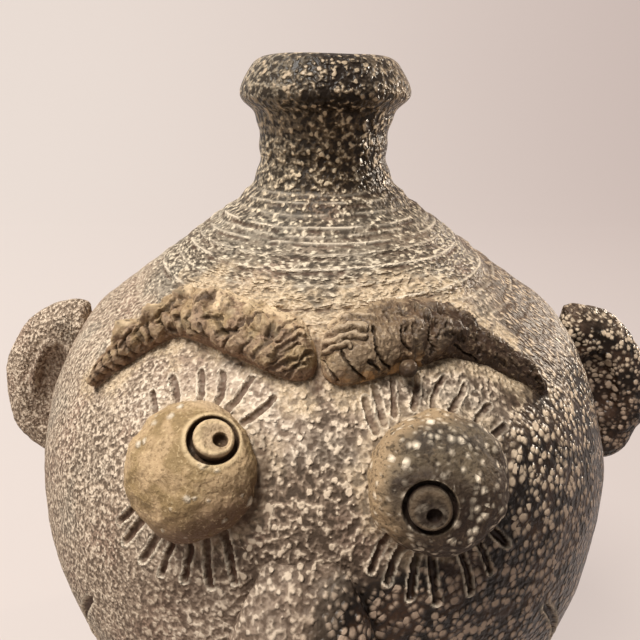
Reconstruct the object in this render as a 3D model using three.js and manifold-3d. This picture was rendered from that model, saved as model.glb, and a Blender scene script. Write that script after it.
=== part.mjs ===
// A wheel-thrown stoneware face jug: a hollow pot with brows, eyes, nose, mouth, ears and handle luted on.
// Millimetres, +Z up, the face looks along -Y, the origin is the centre of the base.
import * as THREE from "three";
import { mergeVertices } from "three/addons/utils/BufferGeometryUtils.js";
import Module from "manifold-3d";

const wasm = await Module();
wasm.setup();

// Thrown pot, stacked from the base up
const FOOT_RADIUS = 70;
const FOOT_BEVEL = 2.5;
const BELLY_RISE = 132; // base to the widest ring
const BELLY_RADIUS = 106;
const SHOULDER_RISE = 62; // widest ring to the start of the straight shoulder
const SHOULDER_RADIUS = 81;
const SLOPE_RISE = 34; // height of the straight shoulder
const NECK_ROOT_RADIUS = 33.5;
const NECK_FLARE_RISE = 19; // neck root to neck waist
const NECK_WAIST_RADIUS = 21.4;
const NECK_RISE = 13.4; // waist to the crease under the collar
const CREASE_RADIUS = 24.8;
const COLLAR_EDGE_RISE = 2.6; // crease to the widest edge of the collar
const COLLAR_RADIUS = 27.2;
const COLLAR_RISE = 8; // widest edge to the rounded lip
const COLLAR_TOP_RADIUS = 24.4;
const LIP_ROUND = 3; // height of the rounded lip
const LIP_RADIUS = 19.5; // ring at the very top
const BORE_RADIUS = 14.5;
const WALL = 7;
const FLOOR = 10;

// Clearance between the pot and every piece luted on it
const SLIP_GAP = 0.3;

// Eyes
const EYE_AZIMUTH = 18; // degrees from the middle of the face
const EYE_DROP = 13.8; // below the start of the straight shoulder
const EYE_RADIUS = 16.5;
const EYE_BULGE = 12; // half thickness of the flattened ball
const EYE_LIFT = 2; // centre of the ball above the wall
const SOCKET_RADIUS = 5.6;
const SOCKET_DEPTH = 4;
const IRIS_RADIUS = 4.2;
const IRIS_PROUD = 0.3; // iris face above the middle of the ball's skin
const PINHOLE_RADIUS = 1.35;
const PINHOLE_DEPTH = 2.4;
const GAZE = {
  left: { east: 34, up: 43 }, // degrees off the wall's normal
  right: { east: -28, up: -3 },
};

// Lash strokes cut into the wall round each eye
const LASH_WIDTH = 1.9;
const LASH_LENGTH = 7;
const LASH_DEPTH = 1.2;
const LASH_START = 1.4; // from the edge of the eye
const LASH_PITCH = 15; // degrees between strokes
const UPPER_LASHES = 7;
const LOWER_LASHES = 7;

// Brows
const BROW_WIDTH = 20.5;
const BROW_BULGE = 7.5;
const BROW_TIP = 0.16; // size of the outer tip against the full section
const BROW_GAP = 9; // bare wall between eye and brow
const BROW_START = 0.4; // degrees from the middle of the face
const BROW_REACH = 49; // degrees from inner to outer end
const BROW_DIP = 5; // inner end below the crest, along the wall
const BROW_DROP = 28; // outer tip below the crest, along the wall
const BROW_CREST = 0.5; // place of the crest between inner and outer end
const BROW_BLUNT = 0.12; // share of the brow that rounds off the inner end
const BEAD_RADIUS = 1.7;
const BEAD_AZIMUTH = 16;

// Nose
const NOSE_START = 18; // top of the nose below the eye line, along the wall
const NOSE_LENGTH = 43;
const NOSE_WIDTH = 42;
const NOSE_BRIDGE_WIDTH = 17;
const NOSE_AZIMUTH = -1.5; // degrees, the nose leans a little to one side
const NOSE_BULGE = 24;
const NOSE_TIP = 0.78; // place of the tip along the nose
const NOSTRIL_RADIUS = 3.4;
const NOSTRIL_SPREAD = 9;
const NOSTRIL_DEPTH = 9;

// Mouth
const NOSE_TO_LIP = 6;
const LIP_WIDTH = 12;
const LIP_BULGE = 9;
const LIP_OVERHANG = 11; // lips beyond the last tooth
const CORNER_GAP = 1; // between the two lips at the corners
const SMILE_RISE = 14;
const TOOTH_COUNT = 6;
const TOOTH_WIDTH = 9;
const TOOTH_HEIGHT = 8;
const TOOTH_PROUD = 4.5;
const TOOTH_GAP = 0.7;
const TOOTH_ROUND = 1.4;
const LAUGH_AZIMUTH = 36;
const LAUGH_RISE = 4; // upper end of the laugh line above the widest ring
const LAUGH_LENGTH = 48;
const LAUGH_BOW = 9;
const LAUGH_WIDTH = 3;

// Ears
const EAR_AZIMUTH = 88;
const EAR_DROP = 36; // centre below the start of the straight shoulder
const EAR_HEIGHT = 66;
const EAR_REACH = 25;
const EAR_THICKNESS = 19;
const EAR_RIM = 6;
const EAR_HOLLOW = 6.5; // how deep the hollow goes into the ear
const EAR_TILT = 12;

// Handle
const HANDLE_WIDTH = 28;
const HANDLE_THICKNESS = 10;
const HANDLE_TOP_DROP = 3; // upper joint below the neck waist
const HANDLE_BOTTOM_DROP = 12; // lower joint below the start of the straight shoulder
const HANDLE_ARCH = 14; // how far the strap rises past its upper joint
const HANDLE_REACH = 22; // how far the strap swings out past its lower joint
const HANDLE_ROOT = 4; // how far each end is worked into the pot before trimming

const AROUND = 56;
const RING = 12;

const belly = BELLY_RISE;
const shoulder = belly + SHOULDER_RISE;
const neckRoot = shoulder + SLOPE_RISE;
const waist = neckRoot + NECK_FLARE_RISE;
const crease = waist + NECK_RISE;
const collar = crease + COLLAR_EDGE_RISE;
const collarTop = collar + COLLAR_RISE;
const rim = collarTop + LIP_ROUND;

const at = (x, y) => new THREE.Vector2(x, y);
const radians = THREE.MathUtils.degToRad;
const degrees = THREE.MathUtils.radToDeg;

// Outline of the wall, radius against height, as curves and the number of steps each is cut into
const lean = (SHOULDER_RADIUS - NECK_ROOT_RADIUS) / SLOPE_RISE;
const foot = at(FOOT_RADIUS, FOOT_BEVEL);
const footPull = at(FOOT_RADIUS + BELLY_RISE * 0.114, BELLY_RISE * 0.356);
const bellyPoint = at(BELLY_RADIUS, belly);
const bellyUnder = at(BELLY_RADIUS, belly - BELLY_RISE * 0.34);
const bellyOver = at(BELLY_RADIUS, belly + SHOULDER_RISE * 0.44);
const shoulderPull = at(SHOULDER_RADIUS + lean * SHOULDER_RISE * 0.145, shoulder - SHOULDER_RISE * 0.145);
const shoulderPoint = at(SHOULDER_RADIUS, shoulder);
const rootPoint = at(NECK_ROOT_RADIUS, neckRoot);
const rootPull = at(NECK_ROOT_RADIUS - lean * NECK_FLARE_RISE * 0.27, neckRoot + NECK_FLARE_RISE * 0.27);
const waistUnder = at(NECK_WAIST_RADIUS, waist - NECK_FLARE_RISE * 0.47);
const waistPoint = at(NECK_WAIST_RADIUS, waist);
const waistOver = at(NECK_WAIST_RADIUS, waist + NECK_RISE * 0.35);
const creasePull = at(CREASE_RADIUS - NECK_RISE * 0.12, crease - NECK_RISE * 0.17);
const creasePoint = at(CREASE_RADIUS, crease);
const collarPoint = at(COLLAR_RADIUS, collar);
const collarTopPoint = at(COLLAR_TOP_RADIUS, collarTop);
const collarCorner = at(COLLAR_TOP_RADIUS, rim);
const lipPoint = at(LIP_RADIUS, rim);
const borePoint = at(BORE_RADIUS, collarTop);
const boreCorner = at(BORE_RADIUS, rim);
const strokes = [
  [new THREE.LineCurve(at(FOOT_RADIUS - FOOT_BEVEL, 0), foot), 1],
  [new THREE.CubicBezierCurve(foot, footPull, bellyUnder, bellyPoint), 7],
  [new THREE.CubicBezierCurve(bellyPoint, bellyOver, shoulderPull, shoulderPoint), 7],
  [new THREE.LineCurve(shoulderPoint, rootPoint), 2],
  [new THREE.CubicBezierCurve(rootPoint, rootPull, waistUnder, waistPoint), 5],
  [new THREE.CubicBezierCurve(waistPoint, waistOver, creasePull, creasePoint), 3],
  [new THREE.LineCurve(creasePoint, collarPoint), 1],
  [new THREE.LineCurve(collarPoint, collarTopPoint), 1],
  [new THREE.QuadraticBezierCurve(collarTopPoint, collarCorner, lipPoint), 3],
];
const outer = strokes.flatMap(([curve, steps], i) => curve.getPoints(steps).slice(i === 0 ? 0 : 1));
const lipInside = new THREE.QuadraticBezierCurve(lipPoint, boreCorner, borePoint).getPoints(3).slice(1);

// The outline moved along its own normals: outwards for the trimming solid, inwards for the hollow
function offset(points, distance) {
  return points.map((point, i) => {
    const before = points[Math.max(i - 1, 0)];
    const after = points[Math.min(i + 1, points.length - 1)];
    const along = after.clone().sub(before).normalize();
    return at(point.x + along.y * distance, point.y - along.x * distance);
  });
}

// Height and radius on the outline, with the lean of the wall there
function wallAt(height) {
  const last = outer.length - 2;
  const found = outer.findIndex((point, i) => i > 0 && point.y >= height);
  const i = found < 0 ? last : Math.max(found - 1, 0);
  const low = outer[i];
  const high = outer[i + 1];
  const share = (height - low.y) / (high.y - low.y);
  return { radius: low.x + (high.x - low.x) * share, slope: (high.x - low.x) / (high.y - low.y) };
}

// The height reached by walking a distance up the wall, or down it where the distance is negative
function climb(height, distance) {
  const steps = 40;
  let reached = height;
  for (let i = 0; i < steps; i++) {
    const { slope } = wallAt(reached);
    reached += distance / steps / Math.hypot(1, slope);
  }
  return reached;
}

// A point on the wall with its three directions: sideways, up the wall and straight out
function wallFrame(azimuth, height) {
  const turn = radians(azimuth);
  const { radius, slope } = wallAt(height);
  const point = new THREE.Vector3(radius * Math.sin(turn), -radius * Math.cos(turn), height);
  const east = new THREE.Vector3(Math.cos(turn), Math.sin(turn), 0);
  const out = new THREE.Vector3(Math.sin(turn), -Math.cos(turn), -slope).normalize();
  const up = out.clone().cross(east);
  return { point, east, up, out, radius };
}

// The same, reached by walking sideways and up the wall from a first place
function wallStep(azimuth, height, east, up) {
  const reached = climb(height, up);
  return wallFrame(azimuth + degrees(east / wallAt((height + reached) / 2).radius), reached);
}

function solid(geometry) {
  const bare = geometry.clone();
  bare.deleteAttribute("normal");
  bare.deleteAttribute("uv");
  const merged = mergeVertices(bare, 1e-4);
  const corners = merged.index.array;
  const kept = [];
  for (let i = 0; i < corners.length; i += 3) {
    const [a, b, c] = corners.slice(i, i + 3);
    if (a !== b && b !== c && c !== a) kept.push(a, b, c);
  }
  const vertProperties = merged.attributes.position.array;
  const made = new wasm.Manifold(new wasm.Mesh({ numProp: 3, vertProperties, triVerts: new Uint32Array(kept) }));
  if (made.volume() > 0) return made;
  for (let i = 0; i < kept.length; i += 3) [kept[i + 1], kept[i + 2]] = [kept[i + 2], kept[i + 1]];
  return new wasm.Manifold(new wasm.Mesh({ numProp: 3, vertProperties, triVerts: new Uint32Array(kept) }));
}

function geometryOf(made) {
  const mesh = made.getMesh();
  const geometry = new THREE.BufferGeometry();
  geometry.setAttribute("position", new THREE.BufferAttribute(new Float32Array(mesh.vertProperties), 3));
  geometry.setIndex(new THREE.BufferAttribute(new Uint32Array(mesh.triVerts), 1));
  const flat = geometry.toNonIndexed();
  flat.computeVertexNormals();
  return flat;
}

// A closed skin over rings of points, with a fan over each end
function loft(rings) {
  const count = rings[0].length;
  const middles = [rings[0], rings[rings.length - 1]].map((ring) =>
    ring.reduce((sum, point) => sum.add(point), new THREE.Vector3()).divideScalar(count),
  );
  const points = [...rings.flat(), ...middles];
  const first = points.length - 2;
  const lastRing = (rings.length - 1) * count;
  const faces = [];
  for (let i = 0; i < count; i++) {
    const next = (i + 1) % count;
    for (let j = 0; j < rings.length - 1; j++) {
      const low = j * count;
      const high = low + count;
      faces.push(low + i, low + next, high + next, low + i, high + next, high + i);
    }
    faces.push(first, next, i, first + 1, lastRing + i, lastRing + next);
  }
  const geometry = new THREE.BufferGeometry().setFromPoints(points);
  geometry.setIndex(faces);
  return geometry;
}

// A coil of clay laid along the wall: each station has a place, half a width and a bulge, and its section
// stands square to the coil, or upright on the wall where the station says so
function coil(stations, root = 4) {
  const rings = stations.map((station, i) => {
    const before = stations[Math.max(i - 1, 0)].frame.point;
    const after = stations[Math.min(i + 1, stations.length - 1)].frame.point;
    const { point, out } = station.frame;
    const square = out.clone().cross(after.clone().sub(before).normalize()).normalize();
    const side = station.upright ? station.frame.up : square;
    return Array.from({ length: RING }, (_, k) => {
      const turn = (k / RING) * 2 * Math.PI;
      const lift = Math.sin(turn) > 0 ? station.bulge : root;
      return point
        .clone()
        .addScaledVector(side, station.half * Math.cos(turn))
        .addScaledVector(out, lift * Math.sin(turn));
    });
  });
  return loft(rings);
}

// A shape whose x, y and z follow a frame's sideways, up and outward directions
function placed(geometry, frame, point = frame.point) {
  const basis = new THREE.Matrix4().makeBasis(frame.east, frame.up, frame.out);
  return geometry.clone().applyMatrix4(basis.setPosition(point));
}

const group = new THREE.Group();
function addPiece(name, made, colour, roughness) {
  const material = new THREE.MeshStandardMaterial({ color: colour, roughness, metalness: 0 });
  const mesh = new THREE.Mesh(geometryOf(made), material);
  mesh.name = name;
  group.add(mesh);
}

const BODY_GLAZE = 0x8f8675;
const BROW_GLAZE = 0x857658;
const SLIP_GLAZE = { left: 0xa3956c, right: 0x67625a };
const TOOTH_GLAZE = 0xd5cdb8;

// The pot and, a slip gap larger, the solid that trims the back of every piece to the wall
function turned(points) {
  return solid(new THREE.LatheGeometry(points, AROUND).rotateX(Math.PI / 2));
}
const inside = offset(outer, -WALL)
  .filter((point, i) => point.y > FLOOR && outer[i].y < crease)
  .map((point) => at(Math.max(point.x, BORE_RADIUS), point.y))
  .reverse();
const floorEdge = at(inside[inside.length - 1].x - WALL / 2, FLOOR);
const potSection = [at(0, 0), ...outer, ...lipInside, ...inside, floorEdge, at(0, FLOOR)];
let pot = turned(potSection);
const clear = offset(outer, SLIP_GAP);
const trimmer = turned([at(0, clear[0].y), ...clear, at(0, clear[clear.length - 1].y)]);

// Eyes
const eyeHeight = shoulder - EYE_DROP;
for (const [side, sign] of [["left", -1], ["right", 1]]) {
  const azimuth = sign * EYE_AZIMUTH;
  const frame = wallFrame(azimuth, eyeHeight);
  const centre = frame.point.clone().addScaledVector(frame.out, EYE_LIFT);
  const ballShape = new THREE.SphereGeometry(1, 24, 14).rotateX(Math.PI / 2);
  ballShape.scale(EYE_RADIUS, EYE_RADIUS, EYE_BULGE);
  const ball = solid(placed(ballShape, frame, centre)).subtract(trimmer);

  // The gaze leaves the ball along the normal of its own skin
  const east = radians(GAZE[side].east);
  const up = radians(GAZE[side].up);
  const look = new THREE.Vector3(Math.sin(east) * Math.cos(up), Math.sin(up), Math.cos(east) * Math.cos(up));
  const skin = look.clone().multiply(new THREE.Vector3(EYE_RADIUS, EYE_RADIUS, EYE_BULGE));
  const normal = look.clone().divide(new THREE.Vector3(EYE_RADIUS, EYE_RADIUS, EYE_BULGE)).normalize();
  const turn = new THREE.Quaternion().setFromUnitVectors(new THREE.Vector3(0, 1, 0), normal);
  const pin = (radius, low, high) => {
    const shape = new THREE.CylinderGeometry(radius, radius, high - low, 20);
    shape.translate(0, (high + low) / 2, 0).applyQuaternion(turn).translate(skin.x, skin.y, skin.z);
    return solid(placed(shape, frame, centre));
  };
  const eyeball = ball.subtract(pin(SOCKET_RADIUS, -SOCKET_DEPTH, EYE_RADIUS));
  const pellet = pin(IRIS_RADIUS, SLIP_GAP - SOCKET_DEPTH, IRIS_PROUD);
  const iris = pellet.subtract(pin(PINHOLE_RADIUS, IRIS_PROUD - PINHOLE_DEPTH, EYE_RADIUS));
  addPiece(`${side}_eyeball`, eyeball, SLIP_GLAZE[side], 0.7);
  addPiece(`${side}_iris`, iris, SLIP_GLAZE[side], 0.7);

  // Lash strokes fan out above and below the eye
  for (const [middle, count] of [[90, UPPER_LASHES], [270, LOWER_LASHES]]) {
    for (let i = 0; i < count; i++) {
      const angle = radians(middle + (i - (count - 1) / 2) * LASH_PITCH);
      const distance = EYE_RADIUS + LASH_START + LASH_LENGTH / 2;
      const place = wallStep(azimuth, eyeHeight, distance * Math.cos(angle), distance * Math.sin(angle));
      const stroke = new THREE.CylinderGeometry(1, 1, LASH_LENGTH, 6);
      stroke.scale(LASH_WIDTH / 2, 1, LASH_DEPTH).rotateZ(angle - Math.PI / 2);
      pot = pot.subtract(solid(placed(stroke, place)));
    }
  }
}

// Brows: from the inner end over a crest and down to a thin outer tip
const crestHeight = EYE_RADIUS + BROW_GAP + BROW_WIDTH / 2;
function browStation(sign, share) {
  const fall = share < BROW_CREST
    ? BROW_DIP * (1 - share / BROW_CREST) ** 2
    : BROW_DROP * ((share - BROW_CREST) / (1 - BROW_CREST)) ** 2;
  const blunt = Math.max(1 - share / BROW_BLUNT, 0);
  const size = (BROW_TIP + (1 - BROW_TIP) * Math.sqrt(1 - share ** 3)) * (1 - 0.3 * blunt ** 2);
  const azimuth = sign * (BROW_START + BROW_REACH * share);
  const frame = wallFrame(azimuth, climb(eyeHeight, crestHeight - fall));
  return { frame, half: (BROW_WIDTH / 2) * size, bulge: BROW_BULGE * size, fall, upright: true };
}
const BROW_STEPS = 16;
for (const [side, sign] of [["left", -1], ["right", 1]]) {
  const stations = Array.from({ length: BROW_STEPS + 1 }, (_, i) => browStation(sign, i / BROW_STEPS));
  addPiece(`${side}_brow`, solid(coil(stations)).subtract(trimmer), BROW_GLAZE, 0.75);
}
const beadStation = browStation(1, (BEAD_AZIMUTH - BROW_START) / BROW_REACH);
const beadDrop = beadStation.half + BEAD_RADIUS + 2 * SLIP_GAP;
const beadFrame = wallFrame(BEAD_AZIMUTH, climb(eyeHeight, crestHeight - beadStation.fall - beadDrop));
const beadCentre = beadFrame.point.clone().addScaledVector(beadFrame.out, BEAD_RADIUS * 0.6);
const beadShape = placed(new THREE.SphereGeometry(BEAD_RADIUS, 14, 9), beadFrame, beadCentre);
addPiece("brow_bead", solid(beadShape).subtract(trimmer), BROW_GLAZE, 0.75);

// Nose: a coil laid down the middle of the face that widens to its tip and is rounded underneath
const NOSE_STEPS = 14;
const noseStations = Array.from({ length: NOSE_STEPS + 1 }, (_, i) => {
  const share = i / NOSE_STEPS;
  const rise = Math.min(share / NOSE_TIP, 1);
  const under = Math.max((share - NOSE_TIP) / (1 - NOSE_TIP), 0);
  const round = 0.35 + 0.65 * Math.sqrt(1 - under ** 2);
  const width = NOSE_BRIDGE_WIDTH + (NOSE_WIDTH - NOSE_BRIDGE_WIDTH) * Math.sin((rise * Math.PI) / 2) ** 1.3;
  const frame = wallFrame(NOSE_AZIMUTH, climb(eyeHeight, -NOSE_START - NOSE_LENGTH * share));
  return { frame, half: (width / 2) * (0.6 + 0.4 * round), bulge: (1 + (NOSE_BULGE - 1) * rise ** 1.2) * round };
});
let nose = solid(coil(noseStations)).subtract(trimmer);
for (const sign of [-1, 1]) {
  const frame = noseStations[NOSE_STEPS].frame;
  const nostril = new THREE.CylinderGeometry(NOSTRIL_RADIUS, NOSTRIL_RADIUS, NOSTRIL_DEPTH * 2, 14);
  nostril.translate(sign * NOSTRIL_SPREAD, 0, NOSE_BULGE * 0.35);
  nose = nose.subtract(solid(placed(nostril, frame)));
}
addPiece("nose", nose, BODY_GLAZE, 0.7);

// Mouth: the lips follow a smile, and the opening between them is just tall enough for two rows of teeth
const pitch = TOOTH_WIDTH + TOOTH_GAP;
const halfMouth = (TOOTH_COUNT / 2) * pitch + LIP_OVERHANG;
const opening = TOOTH_HEIGHT + TOOTH_GAP / 2 + SLIP_GAP;
const mouthDrop = NOSE_START + NOSE_LENGTH + NOSE_TO_LIP + LIP_WIDTH + opening;
const mouthHeight = climb(eyeHeight, -mouthDrop);
const smile = (share) => SMILE_RISE * share ** 2;
const gape = (share) => CORNER_GAP / 2 + (opening - CORNER_GAP / 2) * Math.sqrt(Math.max(1 - share ** 4, 0));
const LIP_STEPS = 24;
for (const [name, sign] of [["upper_lip", 1], ["lower_lip", -1]]) {
  const stations = Array.from({ length: LIP_STEPS + 1 }, (_, i) => {
    const share = (2 * i) / LIP_STEPS - 1;
    const size = 0.3 + 0.7 * Math.sqrt(1 - Math.abs(share) ** 3);
    const half = (LIP_WIDTH / 2) * size;
    const frame = wallStep(0, mouthHeight, halfMouth * share, smile(share) + sign * (gape(share) + half));
    return { frame, half, bulge: LIP_BULGE * size };
  });
  addPiece(name, solid(coil(stations)).subtract(trimmer), BODY_GLAZE, 0.7);
}

// Teeth: rounded tablets, each as tall as the opening leaves it and sheared to follow the smile
function tooth(east, sign) {
  const edge = (Math.abs(east) + TOOTH_WIDTH / 2) / halfMouth;
  const slant = (2 * SMILE_RISE * east) / halfMouth ** 2;
  const height = gape(edge) - TOOTH_GAP * 1.5;
  const round = Math.min(TOOTH_ROUND, height / 3);
  const width = TOOTH_WIDTH / 2;
  const shape = new THREE.Shape();
  shape.moveTo(round - width, -height / 2);
  shape.lineTo(width - round, -height / 2);
  shape.quadraticCurveTo(width, -height / 2, width, round - height / 2);
  shape.lineTo(width, height / 2 - round);
  shape.quadraticCurveTo(width, height / 2, width - round, height / 2);
  shape.lineTo(round - width, height / 2);
  shape.quadraticCurveTo(-width, height / 2, -width, height / 2 - round);
  shape.lineTo(-width, round - height / 2);
  shape.quadraticCurveTo(-width, -height / 2, round - width, -height / 2);
  const bevel = Math.min(TOOTH_ROUND, height / 4) * 0.7;
  const depth = { depth: TOOTH_PROUD + WALL / 2, curveSegments: 2, bevelSegments: 1 };
  const rounded = { bevelSize: bevel, bevelOffset: -bevel, bevelThickness: bevel };
  const tablet = new THREE.ExtrudeGeometry(shape, { ...depth, ...rounded }).translate(0, 0, -WALL / 2 - bevel);
  tablet.applyMatrix4(new THREE.Matrix4().makeShear(slant, 0, 0, 0, 0, 0));
  const lift = smile(east / halfMouth) + sign * (TOOTH_GAP / 2 + height / 2);
  return solid(placed(tablet, wallStep(0, mouthHeight, east, lift))).subtract(trimmer);
}
for (const [name, sign] of [["upper_tooth", 1], ["lower_tooth", -1]]) {
  for (let i = 0; i < TOOTH_COUNT; i++) {
    const east = (i - (TOOTH_COUNT - 1) / 2) * pitch;
    addPiece(`${name}_${i + 1}`, tooth(east, sign), TOOTH_GLAZE, 0.6);
  }
}

// Laugh lines: one bowed groove in each cheek
const LAUGH_STEPS = 8;
for (const sign of [-1, 1]) {
  const stations = Array.from({ length: LAUGH_STEPS + 1 }, (_, i) => {
    const share = i / LAUGH_STEPS;
    const bow = LAUGH_BOW * Math.sin(share * Math.PI);
    const size = 0.25 + 0.75 * Math.sin(share * Math.PI);
    const frame = wallStep(sign * LAUGH_AZIMUTH, belly + LAUGH_RISE, sign * bow, -LAUGH_LENGTH * share);
    return { frame, half: (LAUGH_WIDTH / 2) * size, bulge: LAUGH_WIDTH / 2 };
  });
  pot = pot.subtract(solid(coil(stations, LAUGH_WIDTH / 2)));
}

// Ears: cupped shells that stand out from the sides and open towards the front
for (const [side, sign] of [["left", -1], ["right", 1]]) {
  const frame = wallFrame(sign * EAR_AZIMUTH, shoulder - EAR_DROP);
  const shell = new THREE.SphereGeometry(1, 20, 14).scale(EAR_THICKNESS / 2, EAR_HEIGHT / 2, EAR_REACH);
  const hollow = new THREE.SphereGeometry(1, 20, 14);
  hollow.scale(EAR_THICKNESS / 2, EAR_HEIGHT / 2 - EAR_RIM, EAR_REACH - EAR_RIM);
  hollow.translate(-sign * (EAR_THICKNESS - EAR_HOLLOW - SLIP_GAP), 0, 0);
  const tilt = radians(-sign * EAR_TILT);
  const cup = solid(placed(hollow.rotateZ(tilt), frame));
  const ear = solid(placed(shell.rotateZ(tilt), frame)).subtract(cup).subtract(trimmer);
  addPiece(`${side}_ear`, ear, BODY_GLAZE, 0.7);
}

// Handle: a flat strap that leaves the neck, arches over and comes down on the shoulder
const handleTop = waist - HANDLE_TOP_DROP;
const handleBottom = shoulder - HANDLE_BOTTOM_DROP;
const topReach = wallAt(handleTop).radius;
const bottomReach = wallAt(handleBottom).radius;
const strap = new THREE.CubicBezierCurve(
  at(topReach - HANDLE_ROOT, handleTop),
  at((topReach + bottomReach) / 2, handleTop + HANDLE_ARCH),
  at(bottomReach + HANDLE_REACH, handleTop),
  at(bottomReach - HANDLE_ROOT, handleBottom),
);
const HANDLE_STEPS = 20;
const handleRings = strap.getPoints(HANDLE_STEPS).map((point, i) => {
  const along = strap.getTangent(i / HANDLE_STEPS);
  const across = new THREE.Vector3(0, -along.y, along.x);
  return Array.from({ length: RING }, (_, k) => {
    const turn = (k / RING) * 2 * Math.PI;
    const squared = (value) => Math.sign(value) * Math.abs(value) ** 0.7;
    const sideways = (HANDLE_WIDTH / 2) * squared(Math.cos(turn));
    const thick = (HANDLE_THICKNESS / 2) * squared(Math.sin(turn));
    return new THREE.Vector3(sideways, point.x, point.y).addScaledVector(across, thick);
  });
});
addPiece("handle", solid(loft(handleRings)).subtract(trimmer), BODY_GLAZE, 0.7);

addPiece("jug_body", pot, BODY_GLAZE, 0.65);

export default group;
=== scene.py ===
import math

import bpy
import numpy as np
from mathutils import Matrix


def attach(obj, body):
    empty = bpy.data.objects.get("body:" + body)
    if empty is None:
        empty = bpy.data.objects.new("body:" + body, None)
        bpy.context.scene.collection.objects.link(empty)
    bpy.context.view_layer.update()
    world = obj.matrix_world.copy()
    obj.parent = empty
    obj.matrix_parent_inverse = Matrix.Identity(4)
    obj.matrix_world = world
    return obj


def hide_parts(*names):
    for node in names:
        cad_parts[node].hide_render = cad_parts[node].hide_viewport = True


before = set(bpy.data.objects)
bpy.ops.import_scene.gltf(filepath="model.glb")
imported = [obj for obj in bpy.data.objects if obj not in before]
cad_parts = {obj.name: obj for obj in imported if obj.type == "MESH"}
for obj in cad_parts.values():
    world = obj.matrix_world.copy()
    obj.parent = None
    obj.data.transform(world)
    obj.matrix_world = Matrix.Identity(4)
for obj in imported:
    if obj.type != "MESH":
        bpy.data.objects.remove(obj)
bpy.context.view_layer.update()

# The camera stands close in front of the jug, level with its collar, and looks down at the eyes.
# It is a phone's wide lens, so the shoulder swells and the belly runs out of the picture.
camera_reach, camera_height = 0.186, 0.2645
camera_turn, camera_pitch = math.radians(1.3), math.radians(23.6)
camera_aside = -0.0012
camera = bpy.data.objects.new("camera", bpy.data.cameras.new("camera"))
bpy.context.collection.objects.link(camera)
camera.data.sensor_width, camera.data.lens, camera.data.clip_start = 36, 29.25, 0.01
camera.location = (
    camera_reach * math.sin(camera_turn) + camera_aside * math.cos(camera_turn),
    -camera_reach * math.cos(camera_turn) + camera_aside * math.sin(camera_turn),
    camera_height,
)
camera.rotation_euler = (math.pi / 2 - camera_pitch, 0, camera_turn)
bpy.context.scene.camera = camera

# The pot is one piece of stoneware thrown on a wheel: floor, wall, shoulder, waisted neck and rolled collar.
# The wheel leaves raised rings on the shoulder, and lash strokes and laugh lines are cut into the damp wall.
# It is fired with salt, which beads into a cream skin over a grey to brown ground.
MM = 0.001
foot_radius, foot_bevel = 70.0, 2.5
belly_radius, belly = 106.0, 132.0
shoulder_radius, shoulder = 81.0, 194.0
neck_root_radius, neck_root = 33.5, 228.0
waist_radius, waist = 21.4, 247.0
crease_radius, crease = 23.7, 259.2
collar_radius, collar = 28.0, 264.4
collar_top_radius, collar_top = 24.2, 272.0
lip_radius, rim = 18.6, 275.0
bore_radius, wall, floor_thickness = 14.5, 7.0, 10.0


def bezier(points, steps):
    """Points along a curve that the given points pull on, the last one left out."""
    pull = np.array(points, float)
    share = np.linspace(0, 1, steps, endpoint=False)[:, None]
    degree = len(pull) - 1
    return sum(
        math.comb(degree, i) * share**i * (1 - share) ** (degree - i) * point for i, point in enumerate(pull)
    )


lean = (shoulder_radius - neck_root_radius) / (neck_root - shoulder)
shoulder_ease, neck_ease, waist_ease, crease_ease = 9.0, 5.1, 9.0, 5.0
outline = np.vstack([
    bezier([(foot_radius - foot_bevel, 0), (foot_radius - 0.4, 0.4), (foot_radius, foot_bevel)], 6),
    bezier([(foot_radius, foot_bevel), (85.0, 47.0), (belly_radius, 87.0), (belly_radius, belly)], 60),
    bezier([
        (belly_radius, belly), (belly_radius, 159.3),
        (shoulder_radius + shoulder_ease * lean, shoulder - shoulder_ease), (shoulder_radius, shoulder),
    ], 60),
    bezier([(shoulder_radius, shoulder), (neck_root_radius, neck_root)], 40),
    bezier([
        (neck_root_radius, neck_root), (neck_root_radius - neck_ease * lean, neck_root + neck_ease),
        (waist_radius, waist - waist_ease), (waist_radius, waist),
    ], 40),
    bezier([
        (waist_radius, waist), (waist_radius, waist + crease_ease),
        (crease_radius - 1.6, crease - 1.8), (crease_radius, crease),
    ], 30),
    bezier([(crease_radius, crease), (25.2, 260.9), (collar_radius, 261.9), (collar_radius, collar)], 16),
    bezier([
        (collar_radius, collar), (collar_radius, 266.4), (25.8, 269.9), (collar_top_radius, collar_top),
    ], 20),
    bezier([(collar_top_radius, collar_top), (23.1, 273.6), (21.4, rim), (lip_radius, rim)], 14),
    [(lip_radius, rim)],
])
walked = np.concatenate([[0], np.cumsum(np.hypot(*np.diff(outline, axis=0).T))])


def wall_row(walk):
    """Radius, height and outward direction of the wall at a distance walked up its outline."""
    step = 0.4
    here, after, before = (
        [np.interp(way, walked, values) for values in outline.T] for way in (walk, walk + step, walk - step)
    )
    rise_r, rise_z = after[0] - before[0], after[1] - before[1]
    length = np.hypot(rise_r, rise_z)
    return *here, rise_z / length, -rise_r / length


def walk_to(height):
    return np.interp(height, outline[:, 1], walked)


def wall_points(azimuth, walk, lift=0.0):
    """Points that stand a lift off the wall. Azimuth is in degrees, 0 at the middle of the face."""
    radius, height, out_r, out_z = wall_row(walk)
    turn = np.radians(azimuth)
    reach = radius + lift * out_r
    return np.stack([reach * np.sin(turn), -reach * np.cos(turn), height + lift * out_z], -1)


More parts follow.
